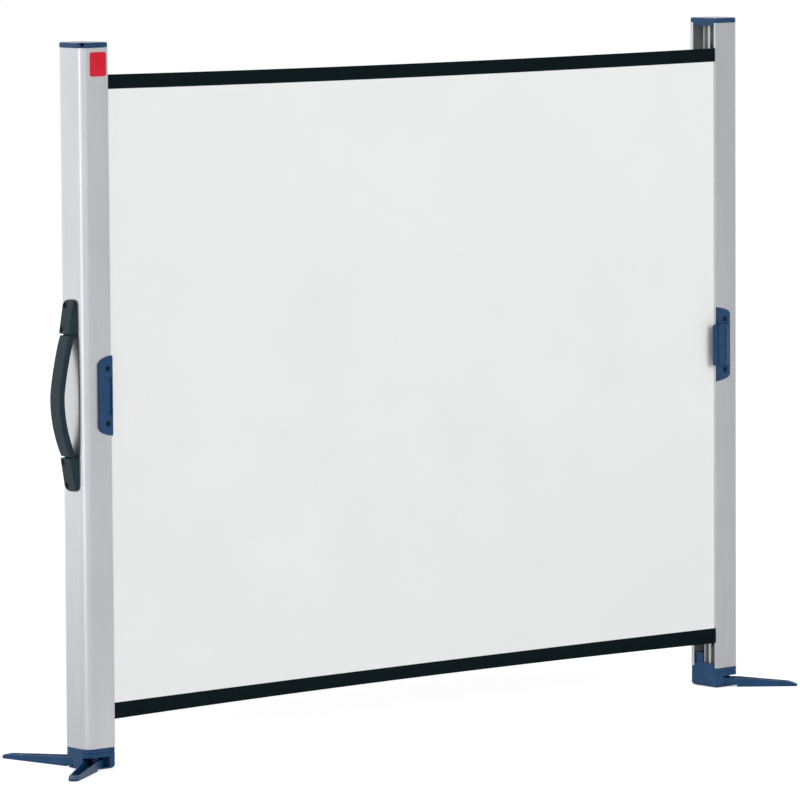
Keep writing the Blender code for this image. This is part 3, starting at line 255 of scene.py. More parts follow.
def screen_cloth():
    """Matt white coated glass-fibre cloth, woven, with a printed black border along two edges.

    The UV map holds metres along the cloth and up the print. The real thread pitch is about
    0.4 mm, too fine to show, so it is drawn at 1.6 mm.
    """
    material, tree, shader = start_material("woven_matt_screen_cloth", {"Specular IOR Level": 0.08})
    place = add(tree, "ShaderNodeUVMap", uv_map="cloth")
    threads = weave(tree, place)
    cloud = grain(tree, place, 160 * MM)
    up = add(tree, "ShaderNodeSeparateXYZ", {0: place}).outputs["Y"]
    over = add(tree, "ShaderNodeMath", {0: up, 1: PRINT_TOP}, operation="GREATER_THAN")
    under = add(tree, "ShaderNodeMath", {0: up, 1: PRINT_BOTTOM}, operation="LESS_THAN")
    border = add(tree, "ShaderNodeMath", {0: over, 1: under}, operation="MAXIMUM")
    white = between(tree, cloud, 0.3, 0.7, "#EBECEC", "#EDEEEE")
    black = between(tree, threads, -1, 1, "#010F13", "#041317")
    fill(shader, {
        "Base Color": add(tree, "ShaderNodeMix", {0: border, 6: white, 7: black}, data_type="RGBA"),
        "Roughness": between(tree, border, 0, 1, 0.9, 0.62),
        "Normal": add(tree, "ShaderNodeBump", {"Height": threads, "Distance": 0.03 * MM, "Strength": 0.4}),
    })
    return material


def cloth_backing():
    """The cloth's opaque black back coating: dull, with the weave showing through."""
    material, tree, shader = start_material("black_cloth_backing", {"Roughness": 0.7, "Specular IOR Level": 0.3})
    place = add(tree, "ShaderNodeUVMap", uv_map="cloth")
    cloud = grain(tree, place, 60 * MM, 3)
    fill(shader, {
        "Base Color": between(tree, cloud, 0.3, 0.7, "#15191B", "#1D2225"),
        "Normal": add(tree, "ShaderNodeBump", {"Height": weave(tree, place), "Distance": 0.05 * MM, "Strength": 0.5}),
    })
    return material


def red_gloss_plate():
    """Glossy red moulded acrylic, with the shallow orange-peel of a sprayed face."""
    material, tree, shader = start_material("red_gloss_acrylic", {
        "Roughness": 0.3, "IOR": 1.49, "Specular IOR Level": 0.25,
    })
    place = add(tree, "ShaderNodeTexCoord").outputs["Object"]
    peel = grain(tree, place, 3 * MM)
    fill(shader, {
        "Base Color": between(tree, peel, 0.3, 0.7, "#CA1428", "#D21C30"),
        "Normal": add(tree, "ShaderNodeBump", {"Height": peel, "Distance": 0.02 * MM, "Strength": 0.3}),
    })
    return material


# Pieces

MERGE_DISTANCE = 0.001 * MM
SLIVER = 0.02 * MM
FLAT_DEG = 0.5
SHARP_DEG = 32
SMOOTH_DEG = 35
EDGE_SEGMENTS = 2
CORNER_STEPS = 6
HOUSING_EDGE = 0.2 * MM
BASE_EDGE = 0.45 * MM
BASE_PLATE_EDGE = 0.3 * MM
FOOT_EDGE = 0.5 * MM
CAP_EDGE = 0.5 * MM
CLAMP_EDGE = 0.35 * MM
HANDLE_EDGE = 0.35 * MM
CATCH_EDGE = 0.25 * MM
LATCH_EDGE = 0.45 * MM
LEVER_EDGE = 0.3 * MM


def smooth(mesh):
    mesh.shade_smooth()
    mesh.set_sharp_from_angle(angle=math.radians(SMOOTH_DEG))


def place_piece(name, mesh, body_name, replaced=(), shaded=False):
    """Put a finished mesh in the scene at the origin, riding on a CAD body."""
    mesh.name = name
    if not shaded:
        smooth(mesh)
    piece = bpy.data.objects.new(name, mesh)
    bpy.context.scene.collection.objects.link(piece)
    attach(piece, body_name)
    if replaced:
        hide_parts(*replaced)
    return piece


def line_bore(node, material):
    """Give the dull finish to every face of a post's extrusion that is inside its outer walls."""
    mesh = bpy.data.objects[node + "_finished"].data
    mesh.materials.append(material)
    low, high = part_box(node)
    middle = (low + high) / 2
    reach = (high - low) / 2
    for face in mesh.polygons:
        across, deep = (abs(face.center[axis] - middle[axis]) - reach[axis] for axis in (0, 1))
        corner = Vector((max(across + POST_CORNER, 0), max(deep + POST_CORNER, 0))).length - POST_CORNER
        if max(across, deep, corner) < -BORE_DEPTH:
            face.material_index = 1


def make_whole(body):
    """Merge a body's points, make its flat faces whole and split those that are concave."""
    bmesh.ops.remove_doubles(body, verts=body.verts, dist=MERGE_DISTANCE)
    bmesh.ops.dissolve_limit(body, angle_limit=math.radians(FLAT_DEG), verts=body.verts, edges=body.edges)
    bmesh.ops.connect_verts_concave(body, faces=body.faces)


def cad_body(node):
    """A merged copy of a CAD node's mesh."""
    body = bmesh.new()
    body.from_mesh(nodes[node].data)
    make_whole(body)
    return body


def cut_body(body, tools):
    """Take closed tool bodies out of a body, one after another."""
    blank = bpy.data.objects.new("blank", bpy.data.meshes.new("blank"))
    body.to_mesh(blank.data)
    bpy.context.scene.collection.objects.link(blank)
    cutters = []
    for tool in tools:
        cutter = bpy.data.objects.new("cutter", bpy.data.meshes.new("cutter"))
        tool.to_mesh(cutter.data)
        tool.free()
        bpy.context.scene.collection.objects.link(cutter)
        cutters.append(cutter)
        modifier = blank.modifiers.new("cut", "BOOLEAN")
        modifier.operation = "DIFFERENCE"
        modifier.solver = "EXACT"
        modifier.object = cutter
    graph = bpy.context.evaluated_depsgraph_get()
    mesh = bpy.data.meshes.new_from_object(blank.evaluated_get(graph), depsgraph=graph)
    body.clear()
    body.from_mesh(mesh)
    make_whole(body)
    for item in [blank, *cutters]:
        bpy.data.objects.remove(item)


def round_tool(start, toward, radius, reach, sides=40):
    """A closed cylinder for cutting, from a point along a direction."""
    tool = bmesh.new()
    turn = Vector(toward).to_track_quat("Z", "Y").to_matrix().to_4x4()
    middle = Vector(start) + Vector(toward).normalized() * reach / 2
    bmesh.ops.create_cone(
        tool, cap_ends=True, segments=sides, radius1=radius, radius2=radius, depth=reach,
        matrix=Matrix.Translation(middle) @ turn,
    )
    return tool


def join_rings(body, rings):
    """Close a row of rings, each the same number of points, into one body."""
    for under, over in zip(rings, rings[1:]):
        for n in range(len(under)):
            after = (n + 1) % len(under)
            body.faces.new((under[n], under[after], over[after], over[n]))
    body.faces.new(rings[0])
    body.faces.new(rings[-1])
    bmesh.ops.recalc_face_normals(body, faces=body.faces)


def round_corners(left, right, low, high, radius):
    """The outline of a rectangle with round corners, as points across and up."""
    loop = []
    for x, z, start in ((right - radius, high - radius, 0), (left + radius, high - radius, 90),
                        (left + radius, low + radius, 180), (right - radius, low + radius, 270)):
        for step in range(CORNER_STEPS + 1):
            angle = math.radians(start + 90 * step / CORNER_STEPS)
            loop.append(Vector((x + radius * math.cos(angle), z + radius * math.sin(angle))))
    return loop


def finish_piece(body, node, material, width):
    """Round a body's sharp edges, as a mould or a die leaves them, and let it stand for a CAD node."""
    sharp = [
        edge for edge in body.edges
        if edge.is_manifold and edge.calc_face_angle(0) > math.radians(SHARP_DEG)
    ]
    bmesh.ops.bevel(
        body, geom=sharp, offset=width, offset_type="OFFSET", segments=EDGE_SEGMENTS, profile=0.5,
        affect="EDGES", clamp_overlap=False, loop_slide=True,
    )
    bmesh.ops.dissolve_degenerate(body, dist=SLIVER, edges=body.edges)
    bmesh.ops.connect_verts_concave(body, faces=body.faces)
    mesh = bpy.data.meshes.new(node)
    body.to_mesh(mesh)
    body.free()
    mesh.materials.append(material)
    smooth(mesh)
    blank = bpy.data.objects.new("blank", mesh)
    bpy.context.scene.collection.objects.link(blank)
    modifier = blank.modifiers.new("settle", "WEIGHTED_NORMAL")
    modifier.keep_sharp = True
    modifier.weight = 100
    graph = bpy.context.evaluated_depsgraph_get()
    settled = bpy.data.meshes.new_from_object(blank.evaluated_get(graph), depsgraph=graph)
    bpy.data.objects.remove(blank)
    place_piece(node + "_finished", settled, nodes[node]["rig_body"], (node,), shaded=True)


def softened(node, material, width):
    finish_piece(cad_body(node), node, material, width)


def paint(node, material):
    nodes[node].data.materials.clear()
    nodes[node].data.materials.append(material)


# Geometry Nodes helpers

def start_tree(name, inputs):
    """A Geometry Nodes tree with a geometry input and output and named inputs."""
    tree = bpy.data.node_groups.new(name, "GeometryNodeTree")
    tree.interface.new_socket("Geometry", in_out="OUTPUT", socket_type="NodeSocketGeometry")
    tree.interface.new_socket("Geometry", in_out="INPUT", socket_type="NodeSocketGeometry")
    for label, kind in inputs.items():
        tree.interface.new_socket(label, in_out="INPUT", socket_type="NodeSocket" + kind)
    return tree, add(tree, "NodeGroupInput").outputs


def run_tree(tree, start, values):
    """The plain mesh that a tree makes from a start mesh, with its named inputs set."""
    maker = bpy.data.objects.new(tree.name + "_maker", start)
    bpy.context.scene.collection.objects.link(maker)
    modifier = maker.modifiers.new(tree.name, "NODES")
    modifier.node_group = tree
    for item in tree.interface.items_tree:
        if item.item_type == "SOCKET" and item.in_out == "INPUT" and item.name in values:
            modifier[item.identifier] = values[item.name]
    bpy.context.view_layer.update()
    graph = bpy.context.evaluated_depsgraph_get()
    mesh = bpy.data.meshes.new_from_object(maker.evaluated_get(graph), depsgraph=graph)
    maker.modifiers.remove(modifier)
    bpy.data.objects.remove(maker)
    return mesh


# Cloth

MOUTH_INSET = 1 * MM
EXIT_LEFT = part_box("left_housing")[1].x - MOUTH_INSET
EXIT_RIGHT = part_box("right_housing")[0].x + MOUTH_INSET
CLOTH_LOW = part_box("screen_fabric")[0].z
CLOTH_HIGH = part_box("screen_fabric")[1].z
CLOTH_THICKNESS = 0.4 * MM
CLOTH_SETBACK = 3.7 * MM
CLOTH_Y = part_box("left_housing")[0].y + CLOTH_SETBACK
CLOTH_BOW = 15 * MM
CLOTH_SPANS = 96
CLOTH_ROWS = 41
TOP_SAG = 3.8 * MM
BOTTOM_RISE = 1.8 * MM
PRINT_LOSS = 2.8 * MM
PRINT_TOP = CLOTH_HIGH - 18.2 * MM
PRINT_BOTTOM = PRINT_TOP - 777.5 * MM
LEAD_STEPS = 4
ROLL_TURNS = 2
ROLL_STEPS = 48
ROLL_GAP = 0.5 * MM
TUBE_GAP = 0.1 * MM
CLAMP_GAP = 0.3 * MM


def cloth_tree():
    """A sheet of cloth that stands on a path: it sags at the top and rises at the bottom by the path's bow."""
    tree, given = start_tree("cloth_along_path", {
        "Low": "Float", "High": "Float", "Top Sag": "Float", "Bottom Rise": "Float", "Print Loss": "Float",
        "Thickness": "Float", "Rows": "Int", "Front": "Material", "Back": "Material",
    })
    path = given["Geometry"]
    size = add(tree, "GeometryNodeAttributeDomainSize", {"Geometry": path}, component="MESH")
    columns = size.outputs["Point Count"]
    grid = add(tree, "GeometryNodeMeshGrid", {
        "Size X": 1, "Size Y": 1, "Vertices X": columns, "Vertices Y": given["Rows"],
    })
    order = add(tree, "GeometryNodeInputIndex")
    middle = add(tree, "ShaderNodeMath", {0: order, 1: 0.5}, operation="ADD")
    column = add(tree, "ShaderNodeMath", {
        0: add(tree, "ShaderNodeMath", {0: middle, 1: given["Rows"]}, operation="DIVIDE"),
    }, operation="FLOOR")
    point = add(tree, "GeometryNodeSampleIndex", {
        "Geometry": path, "Value": add(tree, "GeometryNodeInputPosition"), "Index": column,
    }, data_type="FLOAT_VECTOR")
    along, bow = (
        add(tree, "GeometryNodeSampleIndex", {
            "Geometry": path, "Value": add(tree, "GeometryNodeInputNamedAttribute", {"Name": name}), "Index": column,
        })
        for name in ("along", "bow")
    )
    split = add(tree, "ShaderNodeSeparateXYZ", {0: add(tree, "GeometryNodeInputPosition")}).outputs["Y"]
    sag = add(tree, "ShaderNodeMath", {0: bow, 1: given["Top Sag"]}, operation="MULTIPLY")
    rise = add(tree, "ShaderNodeMath", {0: bow, 1: given["Bottom Rise"]}, operation="MULTIPLY")
    height = add(tree, "ShaderNodeMapRange", {
        "Value": split, "From Min": -0.5, "From Max": 0.5,
        "To Min": add(tree, "ShaderNodeMath", {0: given["Low"], 1: rise}, operation="ADD"),
        "To Max": add(tree, "ShaderNodeMath", {0: given["High"], 1: sag}, operation="SUBTRACT"),
    })
    loss = add(tree, "ShaderNodeMath", {0: bow, 1: given["Print Loss"]}, operation="MULTIPLY")
    printed = add(tree, "ShaderNodeMapRange", {
        "Value": split, "From Min": -0.5, "From Max": 0.5,
        "To Min": add(tree, "ShaderNodeMath", {0: given["Low"], 1: loss}, operation="ADD"), "To Max": given["High"],
    })
    flat = add(tree, "ShaderNodeCombineXYZ", {"X": along, "Y": printed})
    spread = add(tree, "GeometryNodeFieldOnDomain", {0: flat}, data_type="FLOAT_VECTOR", domain="POINT")
    mapped = add(tree, "GeometryNodeStoreNamedAttribute", {
        "Geometry": grid, "Name": "cloth", "Value": spread,
    }, data_type="FLOAT2", domain="CORNER")
    lifted = add(tree, "ShaderNodeCombineXYZ", {"Z": height})
    sheet = add(tree, "GeometryNodeSetPosition", {
        "Geometry": mapped, "Position": add(tree, "ShaderNodeVectorMath", {0: point, 1: lifted}, operation="ADD"),
    })
    thick = add(tree, "GeometryNodeExtrudeMesh", {
        "Mesh": sheet, "Offset Scale": given["Thickness"], "Individual": False,
    })
    back = add(tree, "GeometryNodeFlipFaces", {"Mesh": sheet})
    both = add(tree, "GeometryNodeJoinGeometry", {0: [thick.outputs["Mesh"], back]})
    closed = add(tree, "GeometryNodeMergeByDistance", {"Geometry": both, "Distance": 0.01 * MM})
    real = add(tree, "GeometryNodeRealizeInstances", {"Geometry": closed})
    dark = add(tree, "GeometryNodeSetMaterial", {"Geometry": real, "Material": given["Back"]})
    done = add(tree, "GeometryNodeSetMaterial", {
        "Geometry": dark, "Selection": thick.outputs["Top"], "Material": given["Front"],
    })
    add(tree, "NodeGroupOutput", {0: done})
    return tree


def path_mesh(points, bows):
    """A line of points, each with how far along it is and its share of the bow, and its length."""
    mesh = bpy.data.meshes.new("path")
    mesh.from_pydata([(x, y, 0) for x, y in points], [(n, n + 1) for n in range(len(points) - 1)], [])
    along = [0.0]
    for before, after in zip(points, points[1:]):
        along.append(along[-1] + (Vector(after) - Vector(before)).length)
    for name, values in (("along", along), ("bow", bows)):
        mesh.attributes.new(name, "FLOAT", "POINT").data.foreach_set("value", values)
    return mesh, along[-1]


def make_cloth(front, back):
    """The cloth stretched from the roller to the clamp, and its last turns on the roller."""
    tree = cloth_tree()
    values = {
        "Low": CLOTH_LOW, "High": CLOTH_HIGH, "Top Sag": TOP_SAG, "Bottom Rise": BOTTOM_RISE,
        "Print Loss": PRINT_LOSS, "Thickness": CLOTH_THICKNESS, "Rows": CLOTH_ROWS, "Front": front, "Back": back,
    }
    roll_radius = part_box("fabric_roll")[1].x
    radius = roll_radius + ROLL_GAP
    mouth = Vector((EXIT_LEFT, CLOTH_Y))
    leave = math.atan2(mouth.y, mouth.x) - math.acos(radius / mouth.length)
    tangent = radius * Vector((math.cos(leave), math.sin(leave)))
    points = [tangent.lerp(mouth, step / LEAD_STEPS) for step in range(LEAD_STEPS)]
    bows = [0.0] * LEAD_STEPS
    for step in range(CLOTH_SPANS + 1):
        share = step / CLOTH_SPANS
        bows.append(4 * share * (1 - share))
        points.append((EXIT_LEFT + (EXIT_RIGHT - EXIT_LEFT) * share, CLOTH_Y + CLOTH_BOW * bows[-1]))
    points.append((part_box("fabric_clamp_bar")[0].x - CLAMP_GAP, CLOTH_Y))
    bows.append(0.0)
    path, length = path_mesh(points, bows)
    cloth = place_piece("screen_cloth", run_tree(tree, path, values), "left_post", ["screen_fabric"])
    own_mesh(cloth)

    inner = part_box("roller_tube")[1].x + TUBE_GAP
    outer = roll_radius - 1.1 * CLOTH_THICKNESS
    turns = []
    for step in range(ROLL_TURNS * ROLL_STEPS + 1):
        share = step / (ROLL_TURNS * ROLL_STEPS)
        angle = leave + 2 * math.pi * ROLL_TURNS * (share - 1)
        reach = inner + (outer - inner) * share
        turns.append((reach * math.cos(angle), reach * math.sin(angle)))
    path, length = path_mesh(turns, [0.0] * len(turns))
    values["Rows"] = 2
    place_piece("cloth_on_roller", run_tree(tree, path, values), "roller", ["fabric_roll"])


# Screws

SCREW_SIZES = {
    "Head Radius": 2.9 * MM, "Shank Radius": 1.5 * MM,
    "Recess Length": 3.3 * MM, "Recess Width": 0.8 * MM, "Recess Depth": 0.9 * MM,
}
PAN_HEAD = 1.8 * MM
FLAT_HEAD = 0.9 * MM
HEAD_SIDES, HEAD_RINGS, HEAD_TAPER, HEAD_POWER = 32, 7, 0.6, 3
SHANK_SIDES, SHANK_RINGS, SHANK_TAPER, SHANK_POWER = 20, 12, 0.9, 16


def screw_tree():
    """Cross-recess screws on points: each has its own shank length, and all face the same way."""
    tree, given = start_tree("cross_recess_screws", {
        "Facing": "Vector", "Head Radius": "Float", "Head Height": "Float", "Shank Radius": "Float",
        "Recess Length": "Float", "Recess Width": "Float", "Recess Depth": "Float", "Material": "Material",
    })

    def turned(sides, rings, radius, depth, taper, power):
        """A closed round body from 0 to depth, narrower towards its far end."""
        blank = add(tree, "GeometryNodeMeshCylinder", {
            "Vertices": sides, "Side Segments": rings, "Radius": radius, "Depth": 1,
        })
        split = add(tree, "ShaderNodeSeparateXYZ", {0: add(tree, "GeometryNodeInputPosition")}).outputs
        share = add(tree, "ShaderNodeMath", {0: split["Z"], 1: 0.5}, operation="ADD")
        curve = add(tree, "ShaderNodeMath", {0: share, 1: power}, operation="POWER")
        loss = add(tree, "ShaderNodeMath", {0: curve, 1: taper}, operation="MULTIPLY")
        kept = add(tree, "ShaderNodeMath", {0: 1, 1: loss}, operation="SUBTRACT")
        width = add(tree, "ShaderNodeMath", {0: kept}, operation="SQRT")
        return add(tree, "GeometryNodeSetPosition", {
            "Geometry": blank,
            "Position": add(tree, "ShaderNodeCombineXYZ", {
                "X": add(tree, "ShaderNodeMath", {0: split["X"], 1: width}, operation="MULTIPLY"),
                "Y": add(tree, "ShaderNodeMath", {0: split["Y"], 1: width}, operation="MULTIPLY"),
                "Z": add(tree, "ShaderNodeMath", {0: share, 1: depth}, operation="MULTIPLY"),
            }),
        })

    head = turned(HEAD_SIDES, HEAD_RINGS, given["Head Radius"], given["Head Height"], HEAD_TAPER, HEAD_POWER)
    shank = turned(SHANK_SIDES, SHANK_RINGS, given["Shank Radius"], -1.0, SHANK_TAPER, SHANK_POWER)
    deep = add(tree, "ShaderNodeMath", {0: given["Recess Depth"], 1: 2}, operation="MULTIPLY")
    top = add(tree, "ShaderNodeCombineXYZ", {"Z": given["Head Height"]})
    for first, second in (("Recess Length", "Recess Width"), ("Recess Width", "Recess Length")):
        size = add(tree, "ShaderNodeCombineXYZ", {"X": given[first], "Y": given[second], "Z": deep})
        bar = add(tree, "GeometryNodeTransform", {
            "Geometry": add(tree, "GeometryNodeMeshCube", {"Size": size}), "Translation": top,
        })
        head = add(tree, "GeometryNodeMeshBoolean", {"Mesh 1": head, "Mesh 2": bar},
                   operation="DIFFERENCE", solver="EXACT")
    turn = add(tree, "FunctionNodeAlignRotationToVector", {"Vector": given["Facing"]}, axis="Z")
    length = add(tree, "GeometryNodeInputNamedAttribute", {"Name": "length"})
    screws = add(tree, "GeometryNodeJoinGeometry", {0: [
        add(tree, "GeometryNodeInstanceOnPoints", {
            "Points": given["Geometry"], "Instance": head, "Rotation": turn,
        }),
        add(tree, "GeometryNodeInstanceOnPoints", {
            "Points": given["Geometry"], "Instance": shank, "Rotation": turn,
            "Scale": add(tree, "ShaderNodeCombineXYZ", {"X": 1, "Y": 1, "Z": length}),
        }),
    ]})
    real = add(tree, "GeometryNodeRealizeInstances", {"Geometry": screws})
    done = add(tree, "GeometryNodeSetMaterial", {"Geometry": real, "Material": given["Material"]})
    add(tree, "NodeGroupOutput", {0: done})
    return tree


def make_screws(tree, name, replaced, axis, head_height, material):
    """The screws that stand for CAD screws of one body, whose heads face down the given axis."""
    seats = []
    lengths = []
    for node in replaced:
        low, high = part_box(node)
        seat = (low + high) / 2
        seat[axis] = low[axis] + head_height
        seats.append(seat)
        lengths.append(high[axis] - seat[axis])
    points = bpy.data.meshes.new(name + "_seats")
    points.from_pydata(seats, [], [])
    points.attributes.new("length", "FLOAT", "POINT").data.foreach_set("value", lengths)
    facing = [0.0, 0.0, 0.0]
    facing[axis] = -1.0
    mesh = run_tree(tree, points, {
        **SCREW_SIZES, "Facing": facing, "Head Height": head_height, "Material": material,
    })
    place_piece(name, mesh, nodes[replaced[0]]["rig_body"], replaced)


# Handle, catch and latch

BRACKET_HIGH = 12.7 * MM
BRACKET_DRAFT = 0.75
BRACKET_KEPT = 9.3 * MM
STRAP_SWELL = 1.13
STRAP_SAG_ABOVE = 2.2 * MM
STRAP_SAG_BELOW = -0.5 * MM
HANDLE_WELL = 3.5 * MM
WELL_RISE = 1.2 * MM
KEEPER_WELL = 3.9 * MM
KEEPER_WELL_SINK = 1.7 * MM


def make_handle(material):
    """The handle's brackets, narrower towards their outer faces, and its strap, which hangs a little low."""
    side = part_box("left_housing")[0].x
    low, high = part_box("handle_upper_bracket")
    middle = (low.y + high.y) / 2
    for place, screws in (("upper", (1, 2)), ("lower", (3, 4))):
        node = f"handle_{place}_bracket"
        body = cad_body(node)
        wells = []
        for n in screws:
            seat_low, seat_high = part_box(f"handle_screw_{n}")
            centre = (seat_low + seat_high) / 2
            start = (seat_low.x + PAN_HEAD - WELL_RISE, centre.y, centre.z)
            wells.append(round_tool(start, (-1, 0, 0), HANDLE_WELL, BRACKET_HIGH))
        cut_body(body, wells)
        for point in body.verts:
            share = (side - point.co.x) / BRACKET_HIGH
            across = point.co.y - middle
            if abs(across) > BRACKET_KEPT:
                kept = BRACKET_KEPT + (abs(across) - BRACKET_KEPT) * (1 - BRACKET_DRAFT * share)
                point.co.y = middle + math.copysign(kept, across)
        finish_piece(body, node, material, HANDLE_EDGE)

    body = cad_body("handle_strap")
    top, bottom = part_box("handle_upper_bracket")[0].z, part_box("handle_lower_bracket")[1].z
    centre, reach = (top + bottom) / 2, (top - bottom) / 2
    for point in body.verts:
        share = (point.co.z - centre) / reach
        if abs(share) < 1:
            sag = STRAP_SAG_ABOVE if share > 0 else STRAP_SAG_BELOW
            point.co.x += sag * math.sin(math.pi * abs(share))
            point.co.y = middle + (point.co.y - middle) * STRAP_SWELL
    finish_piece(body, "handle_strap", material, HANDLE_EDGE)


KEEPER_HIGH = 5.0 * MM
KEEPER_FOOT = 1.4 * MM
KEEPER_END_SLOPE = 7.0 * MM
KEEPER_EDGE = 1.6 * MM
KEEPER_SEAT = 0.3 * MM
END_CURVE = ((0, 0), (0.45, 0.1), (1, 0.45), (1, 1))
END_STEPS = 14
EDGE_STEPS = 4
CATCH_DROP = 11.2 * MM
LATCH_DROP = 7.7 * MM
LEVER_GAP = 0.5 * MM
PIN_GAP = 0.3 * MM
SHANK_HOLE = 1.8 * MM
HEAD_HOLE = 3.2 * MM
RECESS_RIM = 3.0 * MM
RECESS_WIDTH = 11.5 * MM
RECESS_HEIGHT = 47.5 * MM
RECESS_CORNER = 2.2 * MM
RECESS_DEPTH = 2.2 * MM
GROOVE_START = 5.7 * MM
GROOVE_END = 9.7 * MM
GROOVE_FLOOR = 2.95 * MM
DISH_PLACE = 18 * MM
DISH_WIDTH = 7 * MM
DISH_END = 5 * MM
DISH_DEPTH = 0.9 * MM
DISH_CORNER = 3.4 * MM


def keeper_body(side, width, drop):
    """A latch or catch plate: its ends curve back from the mouth of the post and slope in towards its face."""
    low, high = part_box(f"{side}_housing")
    inward = 1 if side == "right" else -1
    mouth = low.x if side == "right" else high.x
    node_low, node_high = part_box("catch_plate" if side == "left" else "latch_plate")
    level, half = (node_low.z + node_high.z) / 2, (node_high.z - node_low.z) / 2
    marks = [(across * width, half - down * drop) for across, down in END_CURVE]
    upper = []
    for step in range(END_STEPS + 1):
        t = step / END_STEPS
        weights = ((1 - t) ** 3, 3 * t * (1 - t) ** 2, 3 * t * t * (1 - t), t ** 3)
        upper.append(tuple(sum(w * mark[axis] for w, mark in zip(weights, marks)) for axis in (0, 1)))
    loop = upper + [(p, -z) for p, z in reversed(upper)]
    levels = [(KEEPER_SEAT, 0)]
    for step in range(EDGE_STEPS + 1):
        angle = math.pi / 2 * step / EDGE_STEPS
        levels.append((KEEPER_FOOT + (KEEPER_HIGH - KEEPER_FOOT) * math.sin(angle), 1 - math.cos(angle)))
    body = bmesh.new()
    rings = []
    for out, share in levels:
        shrink_p = 1 - share * 2 * KEEPER_EDGE / width
        shrink_z = 1 - share * KEEPER_END_SLOPE / half
        rings.append([
            body.verts.new((
                mouth + inward * (width / 2 + (p - width / 2) * shrink_p), low.y - out, level + z * shrink_z,
            ))
            for p, z in loop
        ])
    join_rings(body, rings)
    return body


def box_tool(low, high):
    tool = bmesh.new()
    size = Vector(high) - Vector(low)
    middle = (Vector(low) + Vector(high)) / 2
    bmesh.ops.create_cube(tool, size=1, matrix=Matrix.Translation(middle) @ Matrix.Diagonal((*size, 1)))
    return tool


def keeper_holes(screws):
    """Each screw's shank hole, head hole and wide shallow well."""
    tools = []
    for node in screws:
        low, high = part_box(node)
        centre = (low + high) / 2
        seat = Vector((centre.x, low.y + PAN_HEAD, centre.z))
        tools.append(round_tool(seat, (0, 1, 0), SHANK_HOLE, 2 * KEEPER_HIGH))
        tools.append(round_tool(seat, (0, -1, 0), HEAD_HOLE, 2 * KEEPER_HIGH))
        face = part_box("left_housing")[0].y - KEEPER_HIGH + KEEPER_WELL_SINK
        tools.append(round_tool((centre.x, face, centre.z), (0, -1, 0), KEEPER_WELL, 2 * KEEPER_HIGH))
    return tools


def slot_tool(centre, width, height, corner, depth):
    """A closed slot with round corners for cutting, from its floor out towards the viewers."""
    left, low = centre.x - width / 2, centre.z - height / 2
    loop = round_corners(left, left + width, low, low + height, corner)
    tool = bmesh.new()
    join_rings(tool, [[tool.verts.new((x, centre.y + y, z)) for x, z in loop] for y in (0, -depth)])
    return tool


def make_keepers(material):
    """The catch with its long recess, the latch plate with an opening for its lever, and the lever.

    The lever gets a deeper groove beside its tongue and a shallow dish along its crown.
    """
    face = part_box("left_housing")[0].y - KEEPER_HIGH
    low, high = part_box("catch_plate")
    body = keeper_body("left", high.x - low.x, CATCH_DROP)
    floor = Vector((high.x - RECESS_RIM - RECESS_WIDTH / 2, face + RECESS_DEPTH, (low.z + high.z) / 2))
    recess = slot_tool(floor, RECESS_WIDTH, RECESS_HEIGHT, RECESS_CORNER, KEEPER_HIGH)
    cut_body(body, [*keeper_holes(("catch_screw_1", "catch_screw_2")), recess])
    finish_piece(body, "catch_plate", material, CATCH_EDGE)

    low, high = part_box("latch_plate")
    lever_low, lever_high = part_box("latch_lever")
    body = keeper_body("right", high.x - low.x, LATCH_DROP)
    opening = box_tool(
        (low.x - KEEPER_HIGH, face - KEEPER_HIGH, lever_low.z - LEVER_GAP),
        (lever_high.x + LEVER_GAP, face + 2 * KEEPER_HIGH, lever_high.z + LEVER_GAP),
    )
    pin_low, pin_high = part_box("latch_pin")
    pin = (pin_low + pin_high) / 2
    hole = round_tool((pin.x, pin.y, pin_low.z - LEVER_GAP), (0, 0, 1), (pin_high.x - pin_low.x) / 2 + PIN_GAP,
                      pin_high.z - pin_low.z + 2 * LEVER_GAP, 24)
    cut_body(body, [*keeper_holes(("latch_screw_1", "latch_screw_2")), opening, hole])
    finish_piece(body, "latch_plate", material, LATCH_EDGE)

    body = cad_body("latch_lever")
    groove = box_tool(
        (lever_low.x + GROOVE_START, lever_low.y - LEVER_GAP, lever_low.z - LEVER_GAP),
        (lever_low.x + GROOVE_END, lever_low.y + GROOVE_FLOOR, lever_high.z + LEVER_GAP),
    )
    floor = Vector((lever_low.x + DISH_PLACE, lever_low.y + DISH_DEPTH, (lever_low.z + lever_high.z) / 2))
    height = lever_high.z - lever_low.z - 2 * DISH_END
    cut_body(body, [groove, slot_tool(floor, DISH_WIDTH, height, DISH_CORNER, KEEPER_HIGH)])
    finish_piece(body, "latch_lever", material, LEVER_EDGE)


CAP_HOLE_ANGLE_DEG = 60
CAP_HOLE_RADIUS = 2.5 * MM
CAP_HOLE_DROP = 2.8 * MM
CAP_HOLE_REACH = 10 * MM


def make_left_cap(material):
    """The roller post's cap, with the deep hole in the notch at its front corner."""
    low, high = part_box("left_top_cap")
    centre = Vector((low.x + POST_CORNER, low.y + POST_CORNER, high.z - CAP_HOLE_DROP))
    angle = math.radians(CAP_HOLE_ANGLE_DEG)
    outward = Vector((-math.cos(angle), -math.sin(angle), 0))
    body = cad_body("left_top_cap")
    cut_body(body, [round_tool(centre + 2 * POST_CORNER * outward, -outward, CAP_HOLE_RADIUS,
                               POST_CORNER + CAP_HOLE_REACH, 24)])
    finish_piece(body, "left_top_cap", material, CAP_EDGE)


# Red plate

PLATE_WIDTH = 25 * MM
PLATE_HEIGHT = 30.6 * MM
PLATE_THICKNESS = 0.8 * MM
PLATE_CORNER = 2.8 * MM
PLATE_EDGE_GAP = 3 * MM
PLATE_TOP_GAP = 5.5 * MM
PLATE_RINGS = ((0, 0.02), (0, 0.6), (0.12, 0.85), (0.4, 1))


